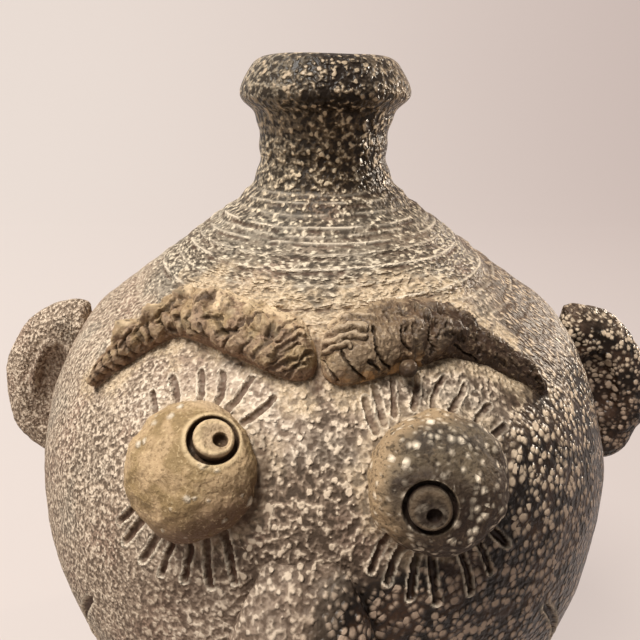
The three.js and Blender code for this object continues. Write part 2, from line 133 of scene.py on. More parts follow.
def wall_frame(azimuth, walk):
    """Points of the wall and their sideways, upward and outward directions."""
    radius, height, out_r, out_z = wall_row(walk)
    turn = np.radians(azimuth)
    sine, cosine = np.sin(turn), np.cos(turn)
    point = np.stack([radius * sine, -radius * cosine, height], -1)
    east = np.stack([cosine, sine, 0 * turn], -1)
    out = np.stack([sine * out_r, -cosine * out_r, out_z], -1)
    return point, east, np.cross(out, east), out


def lumps(points, size, seed, octaves=3):
    """Smooth seeded unevenness between about -1 and 1, with lumps of about that size."""
    rng = np.random.default_rng(seed)
    total = np.zeros(points.shape[:-1])
    for octave in range(octaves):
        for _ in range(7):
            direction = rng.normal(size=3)
            direction *= 2 * math.pi * 2**octave * rng.uniform(0.6, 1.4) / size / np.linalg.norm(direction)
            total += 0.55**octave * np.sin(points @ direction + rng.uniform(0, 2 * math.pi))
    return total / 3.2


def smooth(low, high, value):
    share = np.clip((value - low) / (high - low), 0, 1)
    return share * share * (3 - 2 * share)


def bell(value, middle, width):
    return np.exp(-(((value - middle) / width) ** 2))


def stroke(a, b, start, end, width, bend=0.0):
    """Two shares for each point of a surface: how deep it lies in a tool stroke, and how high on its burr."""
    span = np.subtract(end, start)
    length = math.hypot(*span)
    along = ((a - start[0]) * span[0] + (b - start[1]) * span[1]) / length
    across = ((b - start[1]) * span[0] - (a - start[0]) * span[1]) / length
    across = across - bend * (1 - (2 * along / length - 1) ** 2)
    beyond = np.maximum(np.maximum(-along, along - length), 0)
    away = np.hypot(across, beyond) / (width / 2)
    return np.clip(1 - away * away, 0, 1) ** 0.7, bell(away, 1.22, 0.26)


def skin(name, rings, **marks):
    """A closed mesh over rings of points in millimetres. Each mark is kept as a value of its vertices."""
    count, around = rings.shape[:2]
    points = np.vstack([rings.reshape(-1, 3), rings[0].mean(0), rings[-1].mean(0)]) * MM
    here = np.arange(count * around).reshape(count, around)
    there = np.roll(here, -1, 1)
    quads = np.stack([here[:-1], there[:-1], there[1:], here[1:]], -1).reshape(-1, 4)
    first = np.full(around, count * around)
    fans = np.vstack([
        np.stack([first, there[0], here[0]], -1), np.stack([first + 1, here[-1], there[-1]], -1),
    ])
    a, b, c, d = (points[quads[:, i]] for i in range(4))
    if np.einsum("ij,ij->", a, np.cross(b, c) + np.cross(c, d)) < 0:
        quads, fans = quads[:, ::-1], fans[:, ::-1]
    mesh = bpy.data.meshes.new(name)
    mesh.from_pydata(points.tolist(), [], quads.tolist() + fans.tolist())
    for mark, values in marks.items():
        flat = np.concatenate([np.broadcast_to(values, (count, around)).ravel(), [0, 0]])
        mesh.attributes.new(mark, "FLOAT", "POINT").data.foreach_set("value", flat.astype(np.float32))
    mesh.shade_smooth()
    piece = bpy.data.objects.new(name, mesh)
    bpy.context.collection.objects.link(piece)
    return piece


eyes = {
    "left": {"azimuth": -18.2, "height": 182.2, "radius": 16.3, "tall": 15.8, "gaze": (36, 36.5)},
    "right": {"azimuth": 17.4, "height": 181.1, "radius": 17.4, "tall": 16.2, "gaze": (-26, -12)},
}
brows = {
    "left": {"sign": -1, "crest": 41.0, "dip": 8.9, "drop": 29.0, "top": 0.69, "reach": 46.2, "width": 18.8,
             "shrink": 0.16, "power": 0.8, "overhang": 0.3, "belly": 0.9, "smear": 0.52},
    "right": {"sign": 1, "crest": 37.8, "dip": 5.0, "drop": 26.8, "top": 0.56, "reach": 45.4, "width": 20.8,
              "shrink": 0.58, "power": 4.0, "overhang": 0.0, "belly": 1.1, "smear": 0.66},
}
eye_line = walk_to(180.2)


def brow_path(brow, share):
    """Azimuth, walk and size of a brow's section from its inner end, 0, to its outer tip, 1."""
    inner = np.clip(1 - share / brow["top"], 0, 1)
    outer = np.clip((share - brow["top"]) / (1 - brow["top"]), 0, 1)
    walk = eye_line + brow["crest"] - brow["dip"] * inner**2 - brow["drop"] * outer**2
    tip = np.clip((share - 0.9) / 0.1, 0, 1)
    size = (1 - brow["shrink"] * share ** brow["power"]) * (0.35 + 0.65 * np.sqrt(1 - tip**2))
    return brow["sign"] * (0.3 + brow["reach"] * share), walk, size


# Each lash is given by where it starts round the eye and where it heads, in degrees, and by its length.
lash_width, lash_depth, lash_burr, lash_start, lash_back = 1.9, 1.15, 0.5, 1.6, 2.4
lower_force, upper_force = 0.95, {"left": 0.85, "right": 0.7}
burr_even, burr_sided = {"left": 1.1, "right": 0.85}, {"left": 0.05, "right": 0.3}
lid_paling = {"left": 1.0, "right": 0.3}
lashes = {
    "left": [
        (150, 127, 6), (129, 126, 7), (106, 115, 7), (89, 108, 7), (74, 78, 7), (53, 57, 6), (218, 232, 10.5),
        (231, 236, 11), (246, 246, 10), (260, 254, 10), (274, 266, 9), (290, 278, 10), (307, 286, 10),
    ],
    "right": [
        (128, 92, 6), (119, 88, 7), (107, 76, 7), (90, 65, 7), (73, 50, 7), (57, 38, 6), (34, 30, 5),
        (16, 20, 5), (221, 242, 7), (235, 244, 7), (249, 257, 9), (262, 272, 10), (284, 282, 11),
        (299, 292, 10), (315, 304, 9),
    ],
}
ring_heights = [236.0, 233.2, 230.5, 227.4, 225.8, 224.0, 221.5, 218.6, 215.5, 211.8, 208.6, 204.5]
ring_strengths = [0.3, 0.6, 0.4, 1.0, 0.6, 0.9, 0.55, 1.0, 0.5, 1.0, 0.4, 0.5]
ring_climb, ring_width, ring_rise, ring_dent = 1.6, 0.45, 0.45, 0.25

# The grid of the wall is fine on the face and the shoulder, and coarse where it is plain.
front = np.arange(-44, 44, 0.25)
flank = np.arange(44, 62, 0.5)
side = np.arange(62, 100, 1.2)
back = np.arange(100, 260, 2.5)
azimuth = np.concatenate([front, flank, side, back, 360 - side[::-1] - 0.6, 360 - flank[::-1] - 0.25])
plain_from, face_from, face_to = walk_to(96.0), walk_to(150.0), walk_to(236.0)
rows = np.concatenate([
    np.arange(0, plain_from, 2.2), np.arange(plain_from, face_from, 1.1), np.arange(face_from, face_to, 0.33),
    np.arange(face_to, walked[-1], 0.5), [walked[-1]],
])
turned = (azimuth + 180) % 360 - 180
az, walk = np.meshgrid(turned, rows)
plain = wall_points(az, walk)
radius, height = wall_row(walk)[:2]
raise_by = 0.5 * lumps(plain, 70, 11) + 0.12 * lumps(plain, 14, 12)
raise_by *= smooth(3, 20, height) * (1 - 0.6 * smooth(225, 245, height))
pale, pooled, tan, dusted = (np.zeros_like(az) for _ in range(4))

rng = np.random.default_rng(5)
for ring_height, strength in zip(ring_heights, ring_strengths):
    climb = rng.uniform(-ring_climb, ring_climb)
    turns, phases = np.radians(az), rng.uniform(0, 6, 2)
    wobble = 0.35 * np.sin(turns * 2 + phases[0]) + 0.2 * np.sin(turns * 5 + phases[1])
    away = walk - walk_to(ring_height) - climb * az / 180 - wobble
    broken = np.clip(0.7 + 0.9 * lumps(plain, 14, int(ring_height * 10)), 0, 1)
    gapped = np.clip(0.4 + 1.4 * lumps(plain, 7, int(ring_height), 2), 0, 1)
    ridge = bell(away, 0, ring_width) * strength * broken
    below = bell(away, -1.1, 0.6) * strength * gapped
    raise_by += ring_rise * ridge - ring_dent * below
    pale = np.maximum(pale, 0.9 * ridge)
    pooled = np.maximum(pooled, 0.8 * below)
raise_by += 0.3 * np.sin(walk * 2 * math.pi / 8.5) * smooth(196, 206, height) * smooth(262, 254, height)

for side_name, eye in eyes.items():
    east = np.radians(az - eye["azimuth"]) * radius
    up = walk - walk_to(eye["height"])
    ring_away = (np.hypot(east / eye["radius"], up / eye["tall"]) - 1) * eye["radius"]
    near = ring_away < 18
    loose_east, loose_up = (
        way[near] + 0.13 * lumps(plain[near], 3.5, 38 + i) for i, way in enumerate((east, up))
    )
    ragged = np.clip(0.85 + 0.9 * lumps(plain[near], 5, 36), 0.4, 1.1)
    raise_by += 1.3 * smooth(3.0, -0.6, ring_away)
    rng = np.random.default_rng(len(side_name))
    for angle, heading, length in lashes[side_name]:
        turn, aim = math.radians(angle), math.radians(heading)
        toward = np.array([math.cos(aim), math.sin(aim)])
        root = (eye["radius"] + lash_start) * np.array([math.cos(turn), math.sin(turn)])
        width = lash_width * rng.uniform(0.85, 1.15)
        bend = rng.uniform(-0.5, 0.5)
        ends = root - lash_back * toward, root + length * toward
        deep, burr = stroke(loose_east, loose_up, *ends, width, bend)
        force = lower_force if angle > 180 else upper_force[side_name]
        # The burr stands higher and is painted paler on the left of each stroke, the side that faces the
        # lamp; the paler part is a painted highlight.
        across = (loose_east - root[0]) * toward[1] - (loose_up - root[1]) * toward[0]
        leftward = np.tanh(-across * math.copysign(2.0, toward[1]))
        burr = burr * (deep < 0.05) * ragged * (burr_even[side_name] + burr_sided[side_name] * leftward)
        raise_by[near] += force * (lash_burr * burr - lash_depth * deep)
        pale[near] = np.maximum(pale[near] * (deep < 0.05), np.minimum(1.1 * force * burr, 1))
        pooled[near] = np.maximum(pooled[near], force * deep)
    tan = np.maximum(tan, 0.6 * smooth(5, 0, ring_away + 1.8 * lumps(plain, 12, 31)))
    # Painted shade: a dark line is painted along the lower right of the left eye, where it meets the wall.
    if side_name == "left":
        inner_side = smooth(0.2, 0.8, (east * 0.85 - up * 0.5) / eye["radius"])
        pooled = np.maximum(pooled, 0.6 * smooth(2.2, 0.6, np.abs(ring_away - 0.4)) * inner_side)
    # The wall above each eye is painted paler, more on the left than on the right.
    dusted = np.maximum(dusted, lid_paling[side_name] * smooth(16, 7, ring_away) * smooth(2, 9, up))

# Clay is smeared on the wall round the brows, painted shade lies in the crease between them, and a painted
# highlight lies on the wall left of the nose.
for brow in brows.values():
    for a, w, size in zip(*brow_path(brow, np.linspace(0, 1, 24))):
        away = np.hypot(np.radians(az - a) * radius, (walk - w) * 0.9 - 3.5) - brow["width"] / 2 * size
        tan = np.maximum(tan, smooth(7, 0, away + 3.5 * lumps(plain, 11, 33)))
parting_walk, parting_reach, parting_width = eye_line + 31.0, 10.0, 2.4
parting = smooth(parting_width, 0.4, np.abs(np.radians(az) * radius + 0.5 * lumps(plain, 5, 34)))
parting *= smooth(parting_reach, parting_reach - 4, np.abs(walk - parting_walk))
pooled = np.maximum(pooled, 0.75 * parting)
raise_by += 0.5 * tan * smooth(200, 206, height) * (0.6 + lumps(plain, 7, 35))

# Painted highlight: a paler patch on the wall left of the nose, where the nose's left side faces the lamp.
highlight_azimuth, highlight_walk, highlight_reach = -15.0, eye_line - 42.0, 17.0
away = np.hypot(np.radians(az - highlight_azimuth) * radius, (walk - highlight_walk) * 0.6) + 5 * lumps(plain, 12, 37)
dusted = np.maximum(dusted, 0.65 * smooth(highlight_reach, highlight_reach - 11, away))

laugh_azimuth, laugh_top, laugh_length, laugh_bow, laugh_width = 36.0, 136.0, 48.0, 9.0, 3.2
for sign in (-1, 1):
    east = np.radians(az - sign * laugh_azimuth) * radius
    up = walk - walk_to(laugh_top)
    near = (np.abs(east) < 20) & (np.abs(up + laugh_length / 2) < laugh_length)
    deep, burr = stroke(east[near], up[near], (0, 0), (0, -laugh_length), laugh_width, sign * laugh_bow)
    raise_by[near] += 0.4 * burr * (1 - deep) - 1.3 * deep
    pale[near] = np.maximum(pale[near], 0.8 * burr * (deep < 0.1))
    pooled[near] = np.maximum(pooled[near], deep)

outside = wall_points(az, walk, raise_by)
inner_rows = np.arange(walk_to(crease), walk_to(floor_thickness + 6), -5.0)
inner_radius, inner_height, inner_r, inner_z = wall_row(inner_rows)
hollow = np.stack([np.maximum(inner_radius - wall * inner_r, bore_radius), inner_height - wall * inner_z], -1)
hollow = hollow[hollow[:, 1] > floor_thickness + 1]
bore_lip = bezier([(lip_radius, rim), (bore_radius, rim), (bore_radius, collar_top - 2)], 8)[1:]
floor_edge = [(reach, floor_thickness) for reach in (hollow[-1, 0] - 3, hollow[-1, 0] / 2, 3)]
inside = np.vstack([bore_lip, hollow, floor_edge])
base = np.array([(reach, 0) for reach in (3, foot_radius / 2, foot_radius - foot_bevel - 1)])


def turned_rows(profile):
    spin = np.radians(turned)
    radius, height = profile[:, :1], np.repeat(profile[:, 1:], len(spin), 1)
    return np.stack([radius * np.sin(spin), -radius * np.cos(spin), height], -1)


collar_lean = 0.7
pot_rings = np.concatenate([turned_rows(base), outside, turned_rows(inside)])
pot_rings[..., 0] += collar_lean * smooth(246, 263, pot_rings[..., 2])
padding = ((len(base), len(inside)), (0, 0))
pot_marks = {"pale": pale, "pooled": pooled, "tan": tan, "dusted": dusted}
pot = skin("pot", pot_rings, **{mark: np.pad(values, padding) for mark, values in pot_marks.items()})


def srgb(*screen):
    """A colour as it looks on a screen, 0 to 255, in the linear light that shaders take."""
    shares = [value / 255 for value in screen]
    return (*[share / 12.92 if share < 0.04045 else ((share + 0.055) / 1.055) ** 2.4 for share in shares], 1)


class Wire:
    """A node's output that joins in Python expressions: each operator adds a Math node."""

    def __init__(self, tree, socket):
        self.tree, self.socket = tree, socket

    def node(self, kind, settings=None, inputs=None, output=0):
        """Any node, by its type, its settings and the values or wires of its inputs."""
        made = self.tree.nodes.new("ShaderNode" + kind)
        for key, value in (settings or {}).items():
            setattr(made, key, value)
        for key, value in (inputs or {}).items():
            if isinstance(value, Wire):
                self.tree.links.new(value.socket, made.inputs[key])
            else:
                made.inputs[key].default_value = value
        return Wire(self.tree, made.outputs[output])

    def maths(self, operation, first, second=0.0):
        return self.node("Math", {"operation": operation}, {0: first, 1: second})

    def __add__(self, other):
        return self.maths("ADD", self, other)

    def __sub__(self, other):
        return self.maths("SUBTRACT", self, other)

    def __rsub__(self, other):
        return self.maths("SUBTRACT", other, self)

    def __mul__(self, other):
        return self.maths("MULTIPLY", self, other)

    __radd__, __rmul__ = __add__, __mul__

    def most(self, other):
        return self.maths("MAXIMUM", self, other)

    def twin(self, output):
        """Another output of the same node."""
        return Wire(self.tree, self.socket.node.outputs[output])

    def ramp(self, low, high):
        """0 below low, 1 above high and a smooth step between. With low above high it falls instead."""
        inputs = {"Value": self, "From Min": low, "From Max": high}
        return self.node("MapRange", {"interpolation_type": "SMOOTHSTEP"}, inputs)

    def fade(self, first, second):
        """A value that goes from the first to the second as this value goes from 0 to 1."""
        return second * self + first * (1 - self)

    def blend(self, first, second):
        """A colour that goes from the first to the second as this value goes from 0 to 1."""
        return self.node("Mix", {"data_type": "RGBA"}, {"Factor": self, 6: first, 7: second}, 2)


def new_finish(name):
    """A material with an empty shader, and a wire that gives each point's place in millimetres."""
    material = bpy.data.materials.new(name)
    material.use_nodes = True
    tree = material.node_tree
    start = Wire(tree, None)
    place = start.node("TexCoord", output="Object")
    place = start.node("VectorMath", {"operation": "SCALE"}, {0: place, "Scale": 1 / MM})
    return material, tree.nodes["Principled BSDF"], place


def connect(shader, **wires):
    for name, wire in wires.items():
        wire.tree.links.new(wire.socket, shader.inputs[name.replace("_", " ")])


def surface(shader, colour, rough, height, sheen, strength=1.0, distance=0.0006):
    """Connect what a finish is made of: its colour, roughness, fine relief and level of sheen."""
    bump = colour.node("Bump", {}, {"Strength": strength, "Distance": distance, "Height": height})
    connect(shader, Base_Color=colour, Roughness=rough, Normal=bump)
    shader.inputs["Specular IOR Level"].default_value = sheen


def layered(colour, *layers):
    """A colour with others laid over it in turn, each where its mask says."""
    for mask, tone in layers:
        colour = mask.blend(colour, tone)
    return colour


def part_of(place, axis):
    return place.node("SeparateXYZ", {}, {0: place}, axis)


def attribute(place, name):
    return place.node("Attribute", {"attribute_name": name}, output="Fac")


def noise(place, scale, detail=2.0, distortion=0.0):
    inputs = {"Vector": place, "Scale": scale, "Detail": detail, "Distortion": distortion}
    return place.node("TexNoise", {}, inputs)


def cells(place, scale):
    return place.node("TexVoronoi", {"feature": "F1"}, {"Vector": place, "Scale": scale}, "Distance")


def salt_skin(place, stretch, cell, lack, seed):
    """The level of a salt skin: worm-like swells and pits, with round drops on top, about -1 to 1."""
    inputs = {0: place, 1: stretch, 2: (seed, seed, seed)}
    scaled = place.node("VectorMath", {"operation": "MULTIPLY_ADD"}, inputs)
    near = cells(scaled, 1 / cell)
    drops = (near.twin("Color") * 0.6 + 0.02 - near).ramp(-0.06, 0.3)
    return (noise(scaled, 1.15 / cell, 1.0) - 0.5 - lack) * 4.0 + drops * 1.2


def salt_chains(place, cell):
    """The level of a thin salt skin: soft round beads that run in bright chains, and dim ones between."""
    loops = noise(place, 0.12, 1.0) - 0.5
    chain = loops.maths("ABSOLUTE", loops).ramp(0.09, 0.02)
    near = cells(place, 1 / cell)
    beads = (near.twin("Color") * 0.7 + 0.3 - near).ramp(-0.1, 0.6)
    return beads * (1.0 + chain * 0.5) - 0.14 + (noise(place, 0.5, 2.0) - 0.5) * 0.9


def salt_glaze(name):
    """The salt glaze of the pot: fine and matt on the left, dark and glossy on the right and the neck."""
    material, shader, place = new_finish(name)
    apart, high = part_of(place, "X"), part_of(place, "Z")
    patch = noise(place, 0.035, 3.0)
    cloud = noise(place, 0.12, 4.0)
    fine = noise(place, 1.4, 3.0, 0.3)
    tint = noise(place, 0.055, 2.0)
    mottle = noise(place, 0.075, 2.0)
    pooled, pale, tan, dusted = (attribute(place, mark) for mark in ("pooled", "pale", "tan", "dusted"))

    # Where each kind of skin lies: numbers are millimetres across the jug and up it.
    uneven = patch - 0.5
    spread = apart + uneven * 46.0
    right = (spread + high.ramp(200.0, 148.0) * 36.0 + high.ramp(180.0, 158.0) * 24.0).ramp(40.0, 68.0)
    bold = (spread + high.ramp(184.0, 156.0) * 15.0).ramp(-44.0, -12.0)
    neck = (high + uneven * 8.0).ramp(223.0, 241.0)
    beaded = (high + uneven * 10.0).ramp(221.0, 229.0)
    sloped = (high + uneven * 12.0).ramp(202.0, 214.0)
    sloping = sloped * (1 - beaded)
    flowing = (apart + uneven * 20.0).ramp(44.0, 58.0) * (high + (cloud - 0.5) * 22.0).ramp(178.0, 198.0)
    dark = right * (1 - sloped.most(flowing * 0.8) * 0.85)

    # How high each kind stands. The beads are what stands up, and the pits lie between them.
    drops = salt_skin(place, (1.0, 1.0, 0.9), 1.9, 0.015, 3.0)
    grains = salt_skin(place, (1.0, 1.0, 0.7), 1.25, 0.0, 9.0)
    dashes = salt_skin(place, (0.7, 0.7, 1.8), 1.6, 0.02, 15.0)
    beading = salt_skin(place, (1.0, 1.0, 1.0), 2.1, 0.06, 21.0)
    downhill = {"Vector": place, "Angle": math.radians(-41)}
    slope = place.node("VectorRotate", {"rotation_type": "Y_AXIS"}, downhill)
    runs = salt_skin(slope, (0.5, 1.0, 1.5), 1.7, 0.03, 41.0)
    relief = bold.fade(grains, drops)
    chains = salt_chains(place, 2.0)
    for zone, kind in ((right, chains), (sloping, dashes), (beaded, beading), (flowing, runs)):
        relief = zone.fade(relief, kind)
    level = relief + (fine - 0.5) * (0.8 - right * 0.6) + (cloud - 0.5) * 0.8
    beads = dark.fade(level.ramp(0.08, 0.68), level.ramp(0.0, 1.1))
    pits = level.ramp(0.0, -0.65)

    # The colours of the ground, of the pits and of the beads, and then what lies over them.
    mottled = bold * (1 - sloped) * 0.5
    rolled = apart.ramp(6.0, 24.0).blend(srgb(46, 37, 29), srgb(114, 99, 81))
    shaded = high.ramp(255.0, 262.0).blend(srgb(88, 73, 56), rolled)
    ground = layered(
        bold.blend(srgb(162, 143, 124), srgb(124, 106, 90)),
        (sloped, apart.ramp(0.0, 50.0).blend(srgb(128, 115, 99), srgb(104, 89, 73))),
        (tint.ramp(0.52, 0.68) * 0.6, srgb(150, 124, 107)),
        (tint.ramp(0.48, 0.34) * 0.5, srgb(138, 131, 118)),
        (mottle.ramp(0.5, 0.36) * mottled, srgb(88, 74, 63)),
        (mottle.ramp(0.54, 0.66) * mottled, srgb(152, 134, 116)),
        (dark, cloud.ramp(0.4, 0.62).blend(srgb(22, 15, 10), srgb(56, 40, 30))),
        (flowing, srgb(76, 60, 47)),
        (neck, apart.ramp(-26.0, 4.0).blend(srgb(146, 133, 114), shaded)),
        (dusted * 0.75, srgb(184, 164, 145)),
    )
    depth = layered(
        bold.blend(srgb(92, 77, 64), srgb(66, 54, 44)),
        (sloped, srgb(62, 53, 44)),
        (neck, srgb(26, 18, 11)),
        (dark, srgb(14, 9, 5)),
        (dusted * 0.7, srgb(122, 102, 86)),
    )
    # Painted glints: the beads of the neck are painted brighter towards its right, where the small lamp
    # glints on it.
    bright = apart.ramp(4.0, 20.0).blend(srgb(214, 193, 163), srgb(240, 222, 196))
    cream = layered(
        bold.blend(srgb(212, 193, 171), srgb(206, 186, 163)),
        (sloped, srgb(208, 193, 170)),
        (flowing, srgb(186, 162, 135)),
        # Painted shade: on the dark skin the beads are painted dimmer lower down, where less light reaches
        # them.
        (dark, high.ramp(186.0, 152.0).blend(srgb(226, 203, 175), srgb(164, 141, 122))),
        (neck, high.ramp(254.0, 262.0).blend(bright, srgb(176, 156, 131))),
        (dusted * 0.8, srgb(222, 205, 185)),
    )
    # Painted shade: the ground is painted darker towards the bottom of the face, where the light from above
    # falls weakly.
    painted_low_shade = high.ramp(180.0, 150.0) * (0.1 + bold * 0.32) * (1 - right) * (1 - dusted * 0.8)
    earth = fine.ramp(0.35, 0.65).blend(srgb(214, 192, 163), srgb(170, 147, 118))
    colour = layered(
        ground,
        (pits * 0.9, depth),
        (beads * 0.95, cream),
        (painted_low_shade, srgb(92, 72, 60)),
        (tan * (0.85 - pits * 0.5), earth),
        (pale * 0.95, srgb(224, 208, 186)),
        (pooled * 0.92, right.blend(srgb(70, 47, 35), srgb(42, 28, 20))),
    )
    gloss = dark.most(neck * 0.85).most(right * 0.55).most(apart.ramp(22.0, 42.0) * sloping)
    swell = relief.ramp(-0.8, 1.2) * (1.1 + gloss * 0.5) + fine * (0.35 - gloss * 0.28)
    surface(shader, colour, 0.62 - gloss * 0.36 + fine * 0.1, swell * (1 - pooled * 0.8), 0.14)
    return material


def settle(piece, node, finish):
    """Give a piece its finish, fix it to the jug and let it stand for its node."""
    piece.data.materials.append(finish)
    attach(piece, "root")
    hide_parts(node)


pot_glaze = salt_glaze("pot_salt_glaze")
settle(pot, "jug_body", pot_glaze)

# Each brow is a thick roll of clay pressed on above an eye. Its upper side is smeared into the shoulder,
# and its lower side overhangs. A carver cut leaf scallops, gouges and wavy hair into it with a tool.
# Each tool stroke is given by points in millimetres along the brow from its inner end and up it.
brow_bulge, brow_root = 8.5, 3.0
left_hairs = [
    [(12.3, 0.5), (8.6, 4.2), (4.5, 6.1)], [(11.3, 2.9), (7.6, 5.8), (4.3, 9.0)],
    [(10.7, 4.5), (6.9, 7.2), (2.4, 13.0)], [(9.8, 7.1), (6.7, 9.3), (4.0, 14.5)],
    [(11.1, 8.0), (9.0, 10.2), (6.0, 15.2)], [(11.1, 0.4), (7.3, 3.0), (2.5, 5.1)],
    [(8.6, 0.4), (5.4, 2.0), (1.2, 9.5)],
]
left_petals = [
    69.0, 66.5, 63.6, 60.8, 58.0, 55.2, 52.0, 48.6, 44.8, 41.5, 38.6, 34.6, 31.0, 26.5, 19.8, 15.6, 12.6,
]
left_partings = [
    [(51.8, 7.7), (50.1, 5.3), (48.9, 3.4)], [(48.1, 7.0), (47.0, 4.9), (46.3, 3.0)],
    [(43.8, 5.7), (42.1, 3.8), (41.2, 2.2)], [(40.7, 3.7), (39.9, 2.6), (38.7, 1.8)],
    [(38.3, 5.6), (36.5, 3.9), (34.5, 2.6)], [(34.3, 5.7), (32.1, 4.3), (30.1, 3.5)],
    [(30.3, 5.1), (29.4, 4.5), (28.8, 3.8)], [(25.8, 6.8), (24.3, 5.6), (22.3, 4.3)],
    [(23.2, 3.3), (21.9, 5.0), (19.4, 6.4)], [(18.6, 3.3), (17.8, 5.0), (16.1, 6.0)],
    [(14.9, 3.5), (13.5, 5.4), (11.5, 7.0)],
]
left_gouges = [
    [(50.5, 9.6), (50.1, 11.0), (48.8, 12.4)], [(44.7, 7.4), (42.7, 7.7), (41.2, 8.5)],
    [(34.1, 6.1), (34.3, 9.0), (31.4, 11.4)], [(29.4, 7.1), (27.5, 7.7), (25.5, 8.0)],
    [(24.3, 5.1), (22.1, 5.7), (20.4, 6.7)], [(20.6, 6.8), (19.8, 7.8), (19.2, 8.7)],
    [(17.7, 9.1), (15.9, 10.3), (14.5, 12.3)], [(20.6, 15.5), (19.4, 15.8), (18.2, 15.5)],
    [(11.9, 8.0), (11.5, 9.0), (11.3, 10.2)], [(55.6, 5.6), (55.6, 7.2), (54.1, 7.7)],
]
right_strands = [
    [(2.8, 17.0), (6.6, 13.6), (10.5, 15.4), (14.0, 12.8)],
    [(2.4, 13.6), (6.0, 11.2), (8.0, 13.0), (11.4, 11.0)],
    [(1.4, 11.4), (5.0, 9.2), (7.4, 11.2), (10.6, 9.2)], [(0.8, 9.2), (3.0, 8.6), (5.2, 9.6), (7.0, 8.4)],
]
right_slits = [
    [(0.6, 6.6), (2.2, 4.4), (4.4, 1.4)], [(5.0, 7.8), (6.8, 4.6), (10.6, 1.2)],
    [(11.4, 5.0), (12.2, 3.8), (13.6, 2.8)], [(13.2, 10.6), (11.4, 6.4), (16.4, 2.0)],
    [(20.2, 9.6), (18.2, 6.8), (20.8, 4.4)], [(26.8, 7.6), (26.0, 5.6), (27.6, 3.6)],
    [(33.6, 3.6), (36.0, 2.2), (40.4, 1.0)],
]


def outward(rings):
    """Unit directions out of a ring grid."""
    around = np.roll(rings, -1, 1) - np.roll(rings, 1, 1)
    normal = np.cross(around, np.gradient(rings, axis=0))
    normal /= np.maximum(np.linalg.norm(normal, axis=-1, keepdims=True), 1e-9)
    return normal * np.sign(np.einsum("ijk,ijk->", normal, rings - rings.mean((0, 1))))


def swollen(rings, rise):
    """A ring grid with each of its points moved outward."""
    return rings + outward(rings) * rise[..., None]


def laid(azimuth, walk, aside, lift, upright=True):
    """A ring grid along a path on the wall: each ring stands up the wall, or across it, and out of it."""
    point, east, up, out = wall_frame(azimuth, walk)
    sideways = up if upright else east
    return point[:, None] + aside[..., None] * sideways[:, None] + lift[..., None] * out[:, None]


class Carving:
    """What a carver does to a flat pattern of a brow: millimetres along it and up it from its lower edge."""

    # Besides relief, each stroke paints shade into what sinks and a highlight onto what rises.
    def __init__(self, along, up):
        self.along, self.up = along, up
        self.relief, self.pooled, self.pale = (np.zeros_like(along) for _ in range(3))

    def drawn(self, points, width):
        """How deep each place lies in a curved stroke, and how high on its burr."""
        curve = np.vstack([bezier(points, 7), points[-1:]])
        parts = [stroke(self.along, self.up, a, b, width) for a, b in zip(curve, curve[1:])]
        deep = np.max([part[0] for part in parts], 0)
        return deep, np.max([part[1] for part in parts], 0) * (deep < 0.05)

    def cut(self, points, width, depth, burr=0.2, dark=1.0):
        deep, edge = self.drawn(points, width)
        self.relief += burr * edge - depth * deep
        self.pooled = np.maximum(self.pooled, dark * deep)
        self.pale = np.maximum(self.pale, 1.6 * burr * edge)

    def nick(self, rng, start, widths, depths, burr, dark):
        """A short cut down the brow, of a random size within limits."""
        end = start + (rng.uniform(-1.6, 1.6), -rng.uniform(1.0, 2.2))
        self.cut([start, (start + end) / 2, end], rng.uniform(*widths), rng.uniform(*depths), burr, dark)

    def strand(self, points, width, rise):
        deep, edge = self.drawn(points, width)
        self.relief += rise * deep - 0.5 * rise * edge
        self.pale = np.maximum(self.pale, 0.8 * deep)
        self.pooled = np.maximum(self.pooled, 0.6 * edge)

    def pad(self, centre, width, tall, rise, lean=0.0):
        aside = self.along - centre[0] + lean * (self.up - centre[1])
        away = (aside / (width / 2)) ** 2 + ((self.up - centre[1]) / (tall / 2)) ** 2
        self.relief += rise * np.clip(1 - away, 0, 1) ** 0.6
        self.pale = np.maximum(self.pale, 0.3 * np.clip(1 - away, 0, 1))


